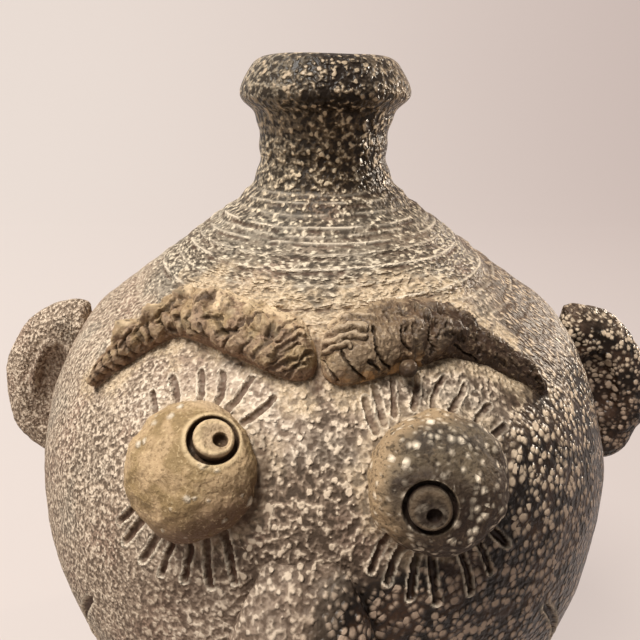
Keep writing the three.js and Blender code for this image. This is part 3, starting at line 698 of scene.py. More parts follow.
def brow_piece(name, brow, carve, seed):
    """A brow as a ring grid, with its carving as real relief."""
    blunt_end, top_count, root_count = 0.14, 130, 22
    share = np.concatenate([np.linspace(0, blunt_end, 44, endpoint=False), np.linspace(blunt_end, 1, 240)])
    azimuth, walk, size = brow_path(brow, share)
    blunt = np.clip(share / blunt_end, 0, 1)
    size = size * np.sqrt(np.clip(1 - (1 - blunt) ** 2, 0.004, 1))
    path = wall_points(azimuth, walk)
    distance = np.concatenate([[0], np.cumsum(np.linalg.norm(np.diff(path, axis=0), axis=1))])
    top_angle, root_angle = np.linspace(0, math.pi, top_count), np.linspace(math.pi, 2 * math.pi, root_count)
    angle = np.concatenate([top_angle, root_angle[1:-1]])
    lower = angle < math.pi / 2
    over = np.sin(angle)
    reach = np.where(np.cos(angle) > 0, 0.44, 0.56) * brow["width"]
    aside = -reach * np.cos(angle) - brow["overhang"] * np.where(lower, np.sin(2 * angle), 0)
    rounded = np.abs(over) ** np.where(lower, brow["belly"], 1.4)
    lift = np.where(over >= 0, brow_bulge * rounded, -brow_root * np.abs(over))
    rings = laid(azimuth, walk, size[:, None] * aside, size[:, None] * lift)
    climbed = np.concatenate([[0], np.cumsum(np.hypot(np.diff(aside), np.diff(lift)))])
    climbed *= brow["width"] / climbed[top_count - 1]
    level = climbed[None] * np.ones_like(size)[:, None]
    loose = [0.3 * lumps(rings, 4, seed + i) for i in (3, 4)]
    carving = Carving(distance[:, None] + loose[0], level + loose[1])
    carve(carving)
    shown = (smooth(0.0, 0.12, over) * (over > 0))[None] * smooth(0, 0.03, share)[:, None]
    uneven = 0.4 * lumps(rings, 9, seed) + 0.16 * lumps(rings, 3.0, seed + 1)
    uneven += 0.05 * lumps(rings, 1.3, seed + 2, 2)
    uneven *= 0.45 + 0.55 * smooth(8, 15, distance)[:, None]
    rings = swollen(rings, (carving.relief + uneven) * shown)
    height = level / brow["width"]
    smeared = smooth(brow["smear"], brow["smear"] + 0.32, height + 0.16 * lumps(rings, 7, seed + 5))
    return skin(
        name, rings, pale=carving.pale * shown, pooled=carving.pooled * shown, tan=smeared,
        under=smooth(0.26, 0.1, height),
    )


def carve_left(carving):
    """Small pads on top, scallops like petals along the lower edge, gouges, and hair at the inner end."""
    rng = np.random.default_rng(21)
    pad_limits = ((3.4, 5.6), (3.0, 4.6), (0.6, 1.2), (-0.6, 0.2))
    for _ in range(34):
        at = (rng.uniform(14, 60), rng.uniform(9.0, 14.0))
        carving.pad(at, *[rng.uniform(*limits) for limits in pad_limits])
    for place in left_petals:
        broad = 3.4 if place > 38 else 5.0
        level = (3.4 if place > 44 else 4.4) + 1.2 * bell(place, 30, 8) + rng.uniform(-0.3, 0.3)
        carving.pad((place, level), broad, rng.uniform(5.0, 6.4), 1.5, -0.6 if place > 24 else 0.5)
        if place > 52:
            inner = place - broad * 0.5
            notch = [(inner + 2.2, level + 3.0), (inner, level), (inner - 1.2, level - 2.4)]
            carving.cut(notch, 0.9, 0.6, 0.1, 0.75)
    for points in left_partings:
        carving.cut(points, rng.uniform(0.9, 1.2), rng.uniform(0.6, 0.85), 0.12, 0.85)
    for _ in range(12):
        at = np.array((rng.uniform(14, 60), rng.uniform(10.0, 15.5)))
        carving.nick(rng, at, (0.9, 1.5), (0.4, 0.8), 0.0, 0.55)
    for points in left_gouges:
        carving.cut(points, rng.uniform(1.4, 1.9), rng.uniform(0.9, 1.3), 0.12, 0.92)
    for points in left_hairs:
        carving.cut(points, rng.uniform(0.9, 1.2), rng.uniform(0.6, 0.8), 0.25, 0.62)


def carve_right(carving):
    """Strands and slits at the inner end, then small pads and nicks, and one broad lump."""
    rng = np.random.default_rng(22)
    pad_limits = ((1.8, 4), (1.6, 3.4), (0.3, 0.8), (-0.5, 0.5))
    for centre in ((2.6, 3.4), (7.6, 4.6), (13.0, 6.4), (16.6, 6.6), (23.4, 6.8), (30.4, 6.2)):
        carving.pad(centre, 6.0, 9.0, 0.7, -0.4)
    for points in right_strands:
        carving.strand(points, 1.4, 0.95)
    for points in right_slits:
        carving.cut(points, 0.8, 1.2, 0.15)
    for _ in range(70):
        at = np.array((rng.uniform(15, 66), rng.uniform(4, 17)))
        at[1] += 6 * smooth(30, 18, at[0])
        carving.pad(at, *[rng.uniform(*limits) for limits in pad_limits])
        carving.nick(rng, at, (0.7, 1.4), (0.3, 0.8), 0.1, 0.7)
    carving.pad((40.0, 13.0), 9.0, 6.0, 1.2)
    carving.cut([(37.0, 13.6), (41.0, 10.6), (45.0, 11.6)], 2.0, 0.8, 0.2)


def brow_glaze_finish():
    """Tan on the left and dark brown on the right, with a painted orange highlight low on the right brow,
    painted shade in the cuts and a painted highlight on raised edges.
    """
    material, shader, place = new_finish("brow_salt_glaze")
    apart = part_of(place, "X")
    patch = noise(place, 0.15, 3.0, 0.4)
    other = noise(place, 0.21, 2.0, 0.2)
    fine = noise(place, 0.9, 4.0, 0.4)
    speck = noise(place, 2.2, 2.0)
    under, tan, pale, pooled = (attribute(place, mark) for mark in ("under", "tan", "pale", "pooled"))
    right = (apart + (patch - 0.5) * 14.0).ramp(-3.0, 9.0)
    outer = (apart + (other - 0.5) * 16.0).ramp(22.0, 40.0)
    inner = (apart + (patch - 0.5) * 10.0).ramp(27.0, 12.0)
    left_tone = layered(
        patch.ramp(0.4, 0.62).blend(srgb(133, 108, 86), srgb(147, 123, 90)),
        (other.ramp(0.56, 0.66) * 0.5, srgb(126, 112, 84)),
        (under * 0.85, srgb(132, 105, 86)),
    )
    right_tone = layered(
        patch.ramp(0.42, 0.6).blend(srgb(84, 63, 46), srgb(60, 45, 33)),
        (inner * 0.8, srgb(117, 97, 75)),
        # Painted highlight: the lower side of the inner right brow is painted light orange, where it catches
        # the lamp.
        (under * other.ramp(0.48, 0.56) * (1 - outer) * 0.85, srgb(190, 150, 106)),
        (outer * 0.75, srgb(54, 39, 29)),
    )
    colour = layered(
        right.blend(left_tone, right_tone),
        (tan * (1 - right * 0.7), srgb(206, 180, 146)),
        (pale * 0.55, (outer * 0.6).blend(srgb(204, 181, 152), srgb(140, 116, 92))),
        (fine.ramp(0.54, 0.7) * (0.5 - outer * 0.2), srgb(200, 176, 144)),
        (fine.ramp(0.46, 0.3) * 0.7, srgb(62, 48, 37)),
        (pooled * 0.88, srgb(50, 37, 27)),
    )
    surface(shader, colour, 0.6 - right * 0.24 + fine * 0.1, fine * 0.7 + speck * 0.25, 0.22)
    return material


brow_glaze = brow_glaze_finish()
left_brow = brow_piece("left_brow", brows["left"], carve_left, seed=41)
settle(left_brow, "left_brow", brow_glaze)
right_brow = brow_piece("right_brow", brows["right"], carve_right, seed=51)
settle(right_brow, "right_brow", brow_glaze)

# A pea of clay sits under the right brow, rolled between the fingers and pressed on.
# It has the dark salt glaze of that brow, and painted shade darkens it, least on its upper front.
bead_azimuth, bead_radius, bead_drop, bead_lift = 16.9, 2.3, 11.0, 4.2


def circle(count):
    return np.linspace(0, 2 * math.pi, count, endpoint=False)


point, east, up, out = wall_frame(bead_azimuth, eye_line + brows["right"]["crest"] - bead_drop)
polar, spin = np.linspace(0.02, math.pi - 0.02, 40)[:, None], circle(56)[None]
sphere = np.stack([np.sin(polar) * np.cos(spin), np.sin(polar) * np.sin(spin), np.cos(polar) + 0 * spin], -1)
ball = sphere @ np.stack([east, up, out]) * bead_radius
ball *= (1 + 0.05 * lumps(ball, 4, 61))[..., None]
shadow = 0.55 + 0.45 * smooth(0.85, 0.35, sphere[..., 2] + 0.5 * sphere[..., 1])
bead = skin("bead", point + out * bead_lift + ball, pooled=shadow)
settle(bead, "brow_bead", brow_glaze)

# The eyes are flattened balls of clay luted to the wall. A round socket is cut into each, off centre,
# so that the two look different ways. The left is dipped in ochre slip, the right in dark slip.
eye_bulge, eye_root, eye_lift = 12.0, 4.0, 2.0
socket_radius, socket_depth, socket_edge = 5.8, 3.2, 0.45
iris_radius, iris_proud, pinhole_radius, pinhole_depth = 4.65, 0.3, 1.7, 2.6


def eye_places(eye):
    """The frame of an eye, the middle of its socket on the skin and the three directions there."""
    point, east, up, out = wall_frame(eye["azimuth"], walk_to(eye["height"]))
    centre = point + eye_lift * out
    aside, rise = (math.radians(angle) for angle in eye["gaze"])
    look = np.array([math.sin(aside) * math.cos(rise), math.sin(rise), math.cos(aside) * math.cos(rise)])
    size = np.array([eye["radius"], eye["tall"], eye_bulge])
    axes = np.stack([east, up, out])
    middle = centre + (look * size) @ axes
    normal = (look / size) @ axes
    normal /= np.linalg.norm(normal)
    right = np.cross([0, 0, 1.0], normal)
    right /= np.linalg.norm(right)
    return centre, axes, size, look, middle, right, np.cross(normal, right), normal


def eyeball(name, eye, seed, rim_reach, stain, shade_from):
    """A ball of clay in rings about its gaze, with the socket sunk into it and clay smeared up its edge.

    The slip above the socket is stained dark, or else the edge of the socket is worn pale. Shade is painted
    on the lower side of the ball.
    """
    centre, axes, size, look, middle, right, above, normal = eye_places(eye)
    first = np.cross(look, [0.0, 1.0, 0.0])
    first /= np.linalg.norm(first)
    second = np.cross(look, first)
    spin = circle(128)

    def skin_point(turn):
        ring = np.cos(spin)[:, None] * first + np.sin(spin)[:, None] * second
        unit = np.cos(turn)[:, None] * look + np.sin(turn)[:, None] * ring
        reach = np.where(unit[:, 2:] < 0, [eye["radius"], eye["tall"], eye_root], size)
        return centre + (unit * reach) @ axes

    low, high = np.zeros_like(spin), np.full_like(spin, 1.2)
    for _ in range(40):
        half = (low + high) / 2
        off = skin_point(half) - middle
        aside = np.linalg.norm(off - (off @ normal)[:, None] * normal, axis=1)
        inside_edge = aside < socket_radius + socket_edge
        low, high = np.where(inside_edge, half, low), np.where(inside_edge, high, half)
    shares = np.linspace(1, 0, 110) ** 1.25
    rings = np.stack([skin_point(half + (math.pi - 0.015 - half) * share) for share in shares])
    uneven = 0.4 * lumps(rings, 15, seed) + 0.14 * lumps(rings, 5, seed + 1)
    rings = swollen(rings, uneven * smooth(0, 0.06, shares)[:, None])
    off = rings[-1] - middle
    sunk = (off @ normal)[:, None] * normal
    flat = (off - sunk) / (socket_radius + socket_edge)

    def socket_ring(reach, depth, level=0.0):
        """A ring of the socket: its reach, its depth and how much it rises and falls with the edge."""
        return middle + level * sunk + flat * reach - normal * depth

    lip, deep = [], []
    for bend in np.linspace(0, math.pi / 2, 7)[1:]:
        wider, deeper = socket_edge * (1 - math.sin(bend)), socket_edge * (1 - math.cos(bend))
        lip.append(socket_ring(socket_radius + wider, deeper, 1.0))
    for share in (0.3, 0.6, 0.85, 1):
        deeper = socket_edge + (socket_depth - socket_edge) * share
        deep.append(socket_ring(socket_radius - 0.4 * share, deeper, 1 - share))
    deep += [socket_ring(reach, socket_depth) for reach in (4.6, 2.6, 0.6)]
    rings = np.concatenate([rings, lip, deep])
    hollow_rows = np.concatenate([np.zeros(len(shares)), np.linspace(0.1, 0.8, len(lip)), np.ones(len(deep))])
    worn_lip = np.linspace(1, 0.2, len(lip))
    edge_rows = np.concatenate([smooth(0.03, 0.005, shares), worn_lip, np.zeros(len(deep))])
    stain_rows = np.concatenate([smooth(0.12, 0.015, shares), np.zeros(len(lip) + len(deep))])
    heading = (rings - middle) @ (0.5 * right + 0.85 * above) / socket_radius
    stained = stain * stain_rows[:, None] * smooth(-1.0, 0.6, heading)
    local = (rings - centre) @ axes.T / size
    rim_mark = smooth(rim_reach, rim_reach - 0.4, local[..., 2]) * smooth(-0.1, 0.6, local @ [-0.8, 0.6, 0])
    # Painted shade: the lower side of the ball is painted darker, away from the lamp.
    shade_mark = smooth(shade_from, shade_from + 0.7, local @ [0.55, -0.82, -0.25])
    shown = (hollow_rows == 0)[:, None]
    return skin(
        name, rings, pooled=np.maximum(hollow_rows[:, None], stained), pale=(1 - stain) * edge_rows[:, None],
        tan=rim_mark * shown, under=shade_mark * shown,
    )


def iris(name, eye, hole, tip, worn, shaded):
    """A rounded pellet of clay in the socket, tipped a little and pierced off centre by a round tool."""
    middle, right, above, normal = eye_places(eye)[4:]
    spin = circle(96)[:, None]
    bottom, dished = 0.3 - socket_depth, iris_proud - 0.4
    underside = [
        (0.5, bottom), (3.0, bottom), (iris_radius - 0.3, bottom), (iris_radius, bottom + 0.4),
        (iris_radius, -2.1),
    ]
    profile = np.vstack([
        underside,
        bezier([
            (iris_radius, -1.6), (iris_radius, -0.1), (iris_radius - 0.2, iris_proud),
            (iris_radius - 0.9, iris_proud),
        ], 18),
        bezier([
            (iris_radius - 0.9, iris_proud), (iris_radius - 1.6, iris_proud), (pinhole_radius + 0.9, dished),
            (pinhole_radius + 0.4, dished),
        ], 12),
        bezier([(pinhole_radius + 0.4, dished), (pinhole_radius, dished), (pinhole_radius, dished - 0.5)], 6),
        [(pinhole_radius, dished - 0.5), (pinhole_radius - 0.1, -1.4), (pinhole_radius - 0.2, -2.0)],
        [(0.3, -pinhole_depth)],
    ])
    upper = np.arange(len(profile)) >= len(underside)
    shift = smooth(iris_radius - 0.6, pinhole_radius + 0.4, profile[:, 0]) * upper
    moved = shift[:, None] * (hole[0] * right + hole[1] * above)
    ring = np.cos(spin) * right + np.sin(spin) * above
    rings = middle + profile[:, :1, None] * ring + (profile[:, 1:] * normal + moved)[:, None]
    lean = (rings - middle) @ right * tip + 0.1 * lumps(rings, 4, 77)
    rings = rings + lean[..., None] * normal
    dark = np.maximum(smooth(dished - 0.15, -1.2, profile[:, 1]), shaded)[:, None]
    edge = bell(profile[:, 0], iris_radius - 0.8, 0.5) * (profile[:, 1] > -0.6)
    return skin(name, rings, pooled=dark, pale=edge[:, None], tan=worn * (1 - dark), bare=1.0)


def slip_finish(name, scale, fill, soft, **tones):
    """Matt slip with pits, grain and salt beads. Its marks say where it is smeared, worn or bare, where it
    gathers dark in hollows, and where shade is painted on it.
    """
    material, shader, place = new_finish(name)
    tones = {part: srgb(*tone) for part, tone in tones.items()}
    under, tan, pale, pooled, bare = (
        attribute(place, mark) for mark in ("under", "tan", "pale", "pooled", "bare")
    )
    cloud = noise(place, 0.16, 3.0, 0.3)
    grain = noise(place, 0.5, 3.0, 0.2)
    fine = noise(place, 1.2, 4.0, 0.3)
    near = cells(place, scale)
    chance = near.twin("Color")
    specks = (fill + (chance - 0.5) * 0.9 + (fine - 0.5) * 0.25 - near).ramp(-0.3 * soft, soft)
    specks = specks * (0.65 + chance * 0.5) * (1 - bare * 0.75)
    colour = layered(
        cloud.ramp(0.4, 0.6).blend(tones["base"], tones["second"]),
        (under * 0.9, tones["shade"]),
        (tan * 0.8, tones["smear"]),
        (grain.ramp(0.45, 0.3) * 0.6, tones["pit"]),
        (fine.ramp(0.48, 0.28) * 0.75, tones["pit"]),
        (fine.ramp(0.55, 0.7) * 0.4, tones["edge"]),
        (specks * 0.9, tones["speck"]),
        (pale * 0.7, tones["edge"]),
        (pooled * 0.92, tones["groove"]),
    )
    surface(shader, colour, 0.58 + fine * 0.14 - specks * 0.3, fine * 0.6 + grain * 1.1 + specks * 0.8, 0.16)
    return material


ochre_slip = slip_finish(
    "ochre_slip", scale=0.3, fill=0.06, soft=0.26,
    base=(176, 149, 115), second=(140, 117, 83), shade=(96, 72, 59), smear=(188, 163, 134),
    pit=(116, 95, 66), edge=(214, 188, 148), speck=(224, 209, 187), groove=(62, 44, 32),
)
dark_slip = slip_finish(
    "dark_slip", scale=0.5, fill=0.31, soft=0.52,
    base=(102, 89, 72), second=(66, 57, 48), shade=(58, 45, 37), smear=(168, 142, 110),
    pit=(34, 26, 20), edge=(122, 103, 82), speck=(240, 222, 197), groove=(38, 26, 20),
)
left_ball = eyeball("left_eyeball", eyes["left"], seed=71, rim_reach=0.45, stain=0.0, shade_from=0.1)
settle(left_ball, "left_eyeball", ochre_slip)
right_ball = eyeball("right_eyeball", eyes["right"], seed=81, rim_reach=0.72, stain=0.8, shade_from=-0.45)
settle(right_ball, "right_eyeball", dark_slip)
left_iris = iris("left_iris", eyes["left"], hole=(1.2, -0.9), tip=-0.1, worn=0.8, shaded=0.0)
settle(left_iris, "left_iris", ochre_slip)
right_iris = iris("right_iris", eyes["right"], hole=(0.9, -1.5), tip=0.04, worn=0.0, shaded=0.48)
settle(right_iris, "right_iris", dark_slip)

# The nose is a wedge of clay pressed on down the middle of the face. It widens to a round tip with two wings,
# and both nostrils are bored up into its underside with a stick.
nose_azimuth, nose_start, nose_length, nose_tip = -1.5, 13.0, 48.0, 0.8
nose_width, nose_bridge, nose_bulge, nose_root = 42.0, 17.0, 24.0, 4.0
nostril_radius, nostril_spread, nostril_depth = 3.4, 9.0, 8.0
share = np.linspace(0, 1, 120)
rise = np.minimum(share / nose_tip, 1)
below = np.clip((share - nose_tip) / (1 - nose_tip), 0, 1)
rounding = 0.35 + 0.65 * np.sqrt(1 - below**2)
across = nose_bridge + (nose_width - nose_bridge) * np.sin(rise * math.pi / 2) ** 1.3
half = across / 2 * (0.6 + 0.4 * rounding) * np.sqrt(smooth(-0.02, 0.09, share))
bulge = (-1.0 + (nose_bulge + 1.0) * rise**1.1) * rounding
angle = circle(144)
side_on = np.abs(np.cos(angle))
lift = np.where(np.sin(angle) > 0, np.sin(angle) * bulge[:, None], nose_root * np.sin(angle))
nose_walk = eye_line - nose_start - nose_length * share
rings = laid(np.full_like(share, nose_azimuth), nose_walk, half[:, None] * np.cos(angle), lift, upright=False)
wing = bell(share, 0.8, 0.13)[:, None] * bell(side_on, 0.9, 0.16)
crease_up = bell(share, 0.62, 0.06)[:, None] * bell(side_on, 0.82, 0.12)
uneven = 0.5 * lumps(rings, 16, 91) + 0.12 * lumps(rings, 5, 92)
modelled = (2.2 * wing - 1.1 * crease_up + uneven) * (np.sin(angle) > 0.04)
rings = swollen(rings, modelled * smooth(0, 0.05, share)[:, None])
point, east, up, out = wall_frame(nose_azimuth, nose_walk[-1])
last = rings[-1]
heart = last.mean(0)
shrink = np.linspace(1, 0.02, 34)[1:, None, None]
under_rings = heart + shrink * (last - heart) - up * (2.2 * (1 - shrink**2))
bored = np.zeros(under_rings.shape[:2])
for sign in (-1, 1):
    nostril = point + sign * nostril_spread * east + nose_bulge * 0.34 * out
    off = under_rings - nostril
    away = np.hypot(off @ east, off @ out) / nostril_radius
    bored = np.maximum(bored, smooth(1.15, 0.8, away))
under_rings = under_rings + up * (nostril_depth * bored)[..., None]
nose_rings = np.concatenate([rings, under_rings])
# Painted highlight: the left flank of the nose is painted paler, the side that faces the lamp.
flank = np.concatenate([0.5 * smooth(0.1, -0.7, np.cos(angle)) * np.ones_like(share)[:, None], 0 * bored])
nose = skin("nose", nose_rings, pooled=np.concatenate([np.zeros(rings.shape[:2]), bored]), dusted=flank)
settle(nose, "nose", pot_glaze)

# The lips are two soft rolls of clay that meet at the corners of a wide smile, smoothed on with a wet finger.
# They carry the same salt glaze as the wall.
tooth_count, tooth_width, tooth_gap, tooth_proud = 6, 9.0, 0.7, 4.5
lip_width, lip_bulge, lip_root, lip_rise = 12.0, 9.0, 4.0, 14.0
corner_gap, corner_reach, mouth_opening, nose_to_lip = 1.0, 11.0, 8.65, 6.0
half_mouth = tooth_count / 2 * (tooth_width + tooth_gap) + corner_reach
mouth_walk = eye_line - nose_start - nose_length - nose_to_lip - lip_width - mouth_opening


def gape(share):
    return corner_gap / 2 + (mouth_opening - corner_gap / 2) * np.sqrt(np.clip(1 - share**4, 0, 1))


def mouth_place(east, up):
    """Azimuth and walk of a point that is sideways and up from the middle of the mouth."""
    walk = mouth_walk + up
    radius = wall_row((walk + mouth_walk) / 2)[0]
    return np.degrees(east / radius), walk


for name, sign in (("upper_lip", 1), ("lower_lip", -1)):
    share = np.sin(np.linspace(-math.pi / 2, math.pi / 2, 170)) * 0.999
    size = 0.3 + 0.7 * np.sqrt(1 - np.abs(share) ** 3)
    ends = np.sqrt(smooth(0.0, 0.1, 1.004 - np.abs(share)))
    half = lip_width / 2 * size
    azimuth, walk = mouth_place(half_mouth * share, lip_rise * share**2 + sign * (gape(share) + half))
    angle = circle(64)
    lift = np.where(np.sin(angle) > 0, lip_bulge, lip_root) * np.sin(angle)
    rings = laid(azimuth, walk, (half * ends)[:, None] * np.cos(angle), (size * ends)[:, None] * lift)
    uneven = 0.45 * lumps(rings, 14, 101 + sign) + 0.1 * lumps(rings, 4, 111 + sign)
    lip = skin(name, swollen(rings, uneven * (np.sin(angle) > 0) * ends[:, None]))
    settle(lip, name, pot_glaze)

# The teeth are twelve small tablets of white clay set side by side in two rows between the lips.
# Each was cut with a knife and pressed in, so no two stand quite alike.


def tooth_finish():
    """Off-white clay with tan in its pores, under a thin clear salt glaze."""
    material, shader, place = new_finish("tooth_white_clay")
    cloud, fine = noise(place, 0.2, 3.0), noise(place, 1.8, 3.0)
    colour = layered(
        cloud.ramp(0.35, 0.65).blend(srgb(214, 204, 182), srgb(190, 176, 146)),
        (fine.ramp(0.58, 0.72) * 0.6, srgb(128, 108, 78)),
    )
    surface(shader, colour, 0.34 + fine * 0.16, fine, 0.5, strength=0.5, distance=0.0003)
    shader.inputs["Coat Weight"].default_value = 0.2
    return material


tooth_clay = tooth_finish()
rng = np.random.default_rng(121)
for name, sign in (("upper_tooth", 1), ("lower_tooth", -1)):
    for i in range(tooth_count):
        east_at = (i - (tooth_count - 1) / 2) * (tooth_width + tooth_gap)
        edge = (abs(east_at) + tooth_width / 2) / half_mouth
        tall = gape(np.array(edge)) - tooth_gap * 1.5
        slant = 2 * lip_rise * east_at / half_mouth**2
        lift = lip_rise * (east_at / half_mouth) ** 2 + sign * (tooth_gap / 2 + tall / 2)
        azimuth, walk = mouth_place(east_at, lift)
        point, east, up, out = wall_frame(azimuth, walk)
        proud = tooth_proud + rng.uniform(-0.4, 0.2)
        turn = circle(72)
        square = (np.abs(np.cos(turn)) ** 5 + np.abs(np.sin(turn)) ** 5) ** (-1 / 5)
        crown = np.linspace(0, 1, 18)
        depth = np.concatenate([[-3.0, -1.0, 0.5, 1.5], proud - 1.4 + 1.4 * np.sin(crown * math.pi / 2)])
        inset = np.concatenate([np.ones(4), 1 - 0.3 * (1 - np.cos(crown * math.pi / 2)) - 0.66 * crown**6])
        aside = (tooth_width / 2 * square * np.cos(turn))[None] * inset[:, None]
        rises = (tall / 2 * square * np.sin(turn))[None] * inset[:, None] + slant * aside
        rings = point + aside[..., None] * east + rises[..., None] * up + depth[:, None, None] * out
        rings = rings + out * (0.18 * lumps(rings, 6, 130 + i) * (depth[:, None] > 1))[..., None]
        tooth = skin(f"{name}_{i + 1}", rings)
        settle(tooth, f"{name}_{i + 1}", tooth_clay)

# The ears are cupped shells of clay luted to the sides of the pot, open towards the front.
# Each has a rolled rim, a hollow and a low inner fold, all pressed with the thumb.
ear_azimuth, ear_height_at, ear_height, ear_reach = 88.0, 158.0, 66.0, 25.0
ear_thickness, ear_rim, ear_hollow_shift, ear_root, ear_tilt = 19.0, 6.0, 12.2, 5.0, 12.0
fold_tall, fold_wide, fold_out, fold_rise, soft = 20.0, 10.0, 5.0, 2.0, 0.9
for name, sign in (("left_ear", -1), ("right_ear", 1)):
    point, east, up, out = wall_frame(sign * ear_azimuth, walk_to(ear_height_at))
    turn = circle(160)
    fraction = np.sin(np.linspace(0.01, 1, 70) * math.pi / 2)[:, None]
    rise_of = fraction * ear_height / 2 * np.sin(turn)
    out_of = fraction * np.where(np.cos(turn) > 0, ear_reach, ear_root) * np.cos(turn)
    curve = np.sqrt(np.clip(1 - fraction**2, 0, 1))
    back_skin = ear_thickness / 2 * curve * np.ones_like(turn)
    inner = 1 - (rise_of / (ear_height / 2 - ear_rim)) ** 2 - (out_of / (ear_reach - ear_rim)) ** 2
    cup = -ear_hollow_shift + ear_thickness / 2 * np.sqrt(np.clip(inner, 0, 1))
    cup = np.where(inner > 0, cup, -40)
    opened = np.logaddexp(-back_skin / soft, cup / soft) * soft
    fold_away = np.hypot(rise_of / fold_tall - 0.05, (out_of - fold_out) / fold_wide)
    fold = fold_rise * bell(fold_away, 0.72, 0.17) * (out_of > -1) * smooth(0, 0.3, inner)
    opened = np.minimum(opened - fold, back_skin - 2.2 * curve)
    faces = np.concatenate([opened, back_skin[::-1][1:]])
    rises, outs = np.concatenate([rise_of, rise_of[::-1][1:]]), np.concatenate([out_of, out_of[::-1][1:]])
    tilt = math.radians(-sign * ear_tilt)
    aside = sign * faces
    leaned = aside * math.cos(tilt) - rises * math.sin(tilt)
    raised = aside * math.sin(tilt) + rises * math.cos(tilt)
    rings = point + leaned[..., None] * east + raised[..., None] * up + outs[..., None] * out
    rings = swollen(rings, 0.4 * lumps(rings, 18, 150 + sign) + 0.12 * lumps(rings, 6, 160 + sign))
    hollow_mark = np.concatenate([smooth(0.1, 0.8, inner) * 0.4, np.zeros_like(back_skin[1:])])
    ear = skin(name, rings, pooled=hollow_mark)
    settle(ear, name, pot_glaze)

# The handle is a pulled strap of clay that leaves the neck at the back, arches over and lands on the
# shoulder. Wet fingers drew long grooves down it, and a thumb pressed its lower end home.
handle_width, handle_thickness, handle_root = 28.0, 10.0, 4.0
handle_top, handle_bottom, handle_arch, handle_reach = 244.0, 182.0, 14.0, 22.0
groove_count, groove_depth, thumb_press = 3, 0.7, 2.2
top_reach, bottom_reach = wall_row(walk_to(handle_top))[0], wall_row(walk_to(handle_bottom))[0]
path = np.vstack([
    bezier([
        (top_reach - handle_root, handle_top), ((top_reach + bottom_reach) / 2, handle_top + handle_arch),
        (bottom_reach + handle_reach, handle_top), (bottom_reach - handle_root, handle_bottom),
    ], 200),
    [(bottom_reach - handle_root, handle_bottom)],
])
along = np.gradient(path, axis=0)
along /= np.linalg.norm(along, axis=1, keepdims=True)
turn = circle(96)
share = np.linspace(0, 1, len(path))


def squared(value):
    return np.sign(value) * np.abs(value) ** 0.7


across = handle_width / 2 * squared(np.cos(turn))
widen = 1 - 0.08 * np.sin(share * math.pi) + 0.1 * smooth(0.9, 1, share)
waves = np.cos(across / handle_width * 2 * math.pi * groove_count)
grooves = groove_depth * waves * (np.abs(np.cos(turn)) < 0.93)
thick = handle_thickness / 2 * squared(np.sin(turn)) + np.sign(np.sin(turn)) * grooves * 0.6
press = thumb_press * bell(share, 0.93, 0.03)[:, None] * bell(across, 0, 6) * (np.sin(turn) > 0)
sides = across[None] * widen[:, None]
depth = thick[None] - press
rings = np.stack([
    sides, path[:, :1] - along[:, 1:] * depth, path[:, 1:] + along[:, :1] * depth,
], -1)
handle = skin("handle", swollen(rings, 0.35 * lumps(rings, 22, 171) + 0.1 * lumps(rings, 6, 172)))
settle(handle, "handle", pot_glaze)

# The jug stands on a plain pale floor that sweeps up into a pale wall behind it.
# The camera and the gloss see the sweep in its own soft pink, and the light that it throws back is plainer.
floor_reach, sweep_start, sweep_radius, wall_top = 2.2, 0.9, 0.5, 2.4
paper_drop, paper_glow = 0.0002, 0.76


def pale_rays(start):
    """1 for the rays that see the pale background: from the camera, off gloss and through glass."""
    rays = start.node("LightPath", output="Is Camera Ray")
    return rays.most(rays.twin("Is Glossy Ray")).most(rays.twin("Is Transmission Ray"))


sweep = [(-floor_reach, -paper_drop)]
for bend in np.linspace(0, math.pi / 2, 24):
    rise = sweep_radius * (1 - math.cos(bend)) - paper_drop
    sweep.append((sweep_start + sweep_radius * math.sin(bend), rise))
sweep.append((sweep_start + sweep_radius, wall_top))
corners = [(x, y, z) for y, z in sweep for x in (-floor_reach, floor_reach)]
paper = bpy.data.meshes.new("paper_sweep")
paper.from_pydata(corners, [], [(2 * i, 2 * i + 1, 2 * i + 3, 2 * i + 2) for i in range(len(sweep) - 1)])
paper.shade_smooth()
sweep_object = bpy.data.objects.new("paper_sweep", paper)
bpy.context.collection.objects.link(sweep_object)
paper_finish = bpy.data.materials.new("pale_paper")
paper_finish.use_nodes = True
tree = paper_finish.node_tree
shader = tree.nodes["Principled BSDF"]
start = Wire(tree, None)
sideways = part_of(start.node("TexCoord", output="Object"), "X")
tone = sideways.ramp(-1.1, 1.1).blend(srgb(252, 239, 230), srgb(216, 198, 191))
black = (0, 0, 0, 1)
seen = pale_rays(start) * paper_glow
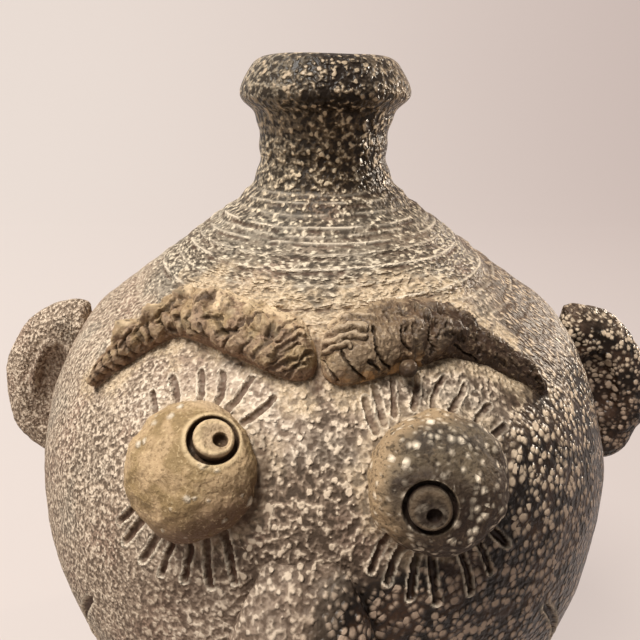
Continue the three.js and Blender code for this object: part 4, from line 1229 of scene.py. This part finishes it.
connect(shader, Base_Color=seen.blend(srgb(190, 178, 170), black), Emission_Color=seen.blend(black, tone))
shader.inputs["Emission Strength"].default_value = 1.0
shader.inputs["Roughness"].default_value = 0.9
paper.materials.append(paper_finish)

# A big soft lamp stands at the upper left, a weak one fills the left, and the room fills the rest.
# A small bright one at the right makes the glints on the glossy side.
key_colour, fill_colour, glint_colour = (1, 0.97, 0.92), (1, 0.96, 0.92), (1, 0.86, 0.7)
glint_spread, room_strength = math.radians(36), 0.13


def lamp(name, place, aim, size, power, colour, spread=math.pi):
    light = bpy.data.lights.new(name, "AREA")
    light.size, light.energy, light.color, light.spread = size, power, colour, spread
    lamp_object = bpy.data.objects.new(name, light)
    lamp_object.location = place
    toward = np.subtract(aim, place)
    yaw = math.atan2(toward[1], toward[0]) - math.pi / 2
    pitch = math.atan2(toward[2], math.hypot(*toward[:2])) + math.pi / 2
    lamp_object.rotation_euler = (pitch, 0, yaw)
    lamp_object.visible_camera = False
    bpy.context.collection.objects.link(lamp_object)


lamp("soft_key", (-0.4, -0.26, 1.3), (0, 0, 0.19), 0.5, 25.0, key_colour)
lamp("left_fill", (-0.9, -0.9, 0.42), (0, 0, 0.18), 0.6, 1.6, fill_colour)
lamp("right_glint", (0.82, 0.5, 0.36), (0, 0, 0.22), 0.036, 0.38, glint_colour, glint_spread)
world = bpy.data.worlds.new("room")
world.use_nodes = True
tree = world.node_tree
dim_room = tree.nodes["Background"]
dim_room.inputs["Color"].default_value = (1, 0.97, 0.94, 1)
dim_room.inputs["Strength"].default_value = room_strength
pale_room = tree.nodes.new("ShaderNodeBackground")
pale_room.inputs["Color"].default_value = srgb(224, 210, 202)
either = tree.nodes.new("ShaderNodeMixShader")
tree.links.new(pale_rays(Wire(tree, None)).socket, either.inputs["Fac"])
tree.links.new(dim_room.outputs[0], either.inputs[1])
tree.links.new(pale_room.outputs[0], either.inputs[2])
tree.links.new(either.outputs[0], tree.nodes["World Output"].inputs["Surface"])
bpy.context.scene.world = world
bpy.context.scene.view_settings.view_transform = "Standard"
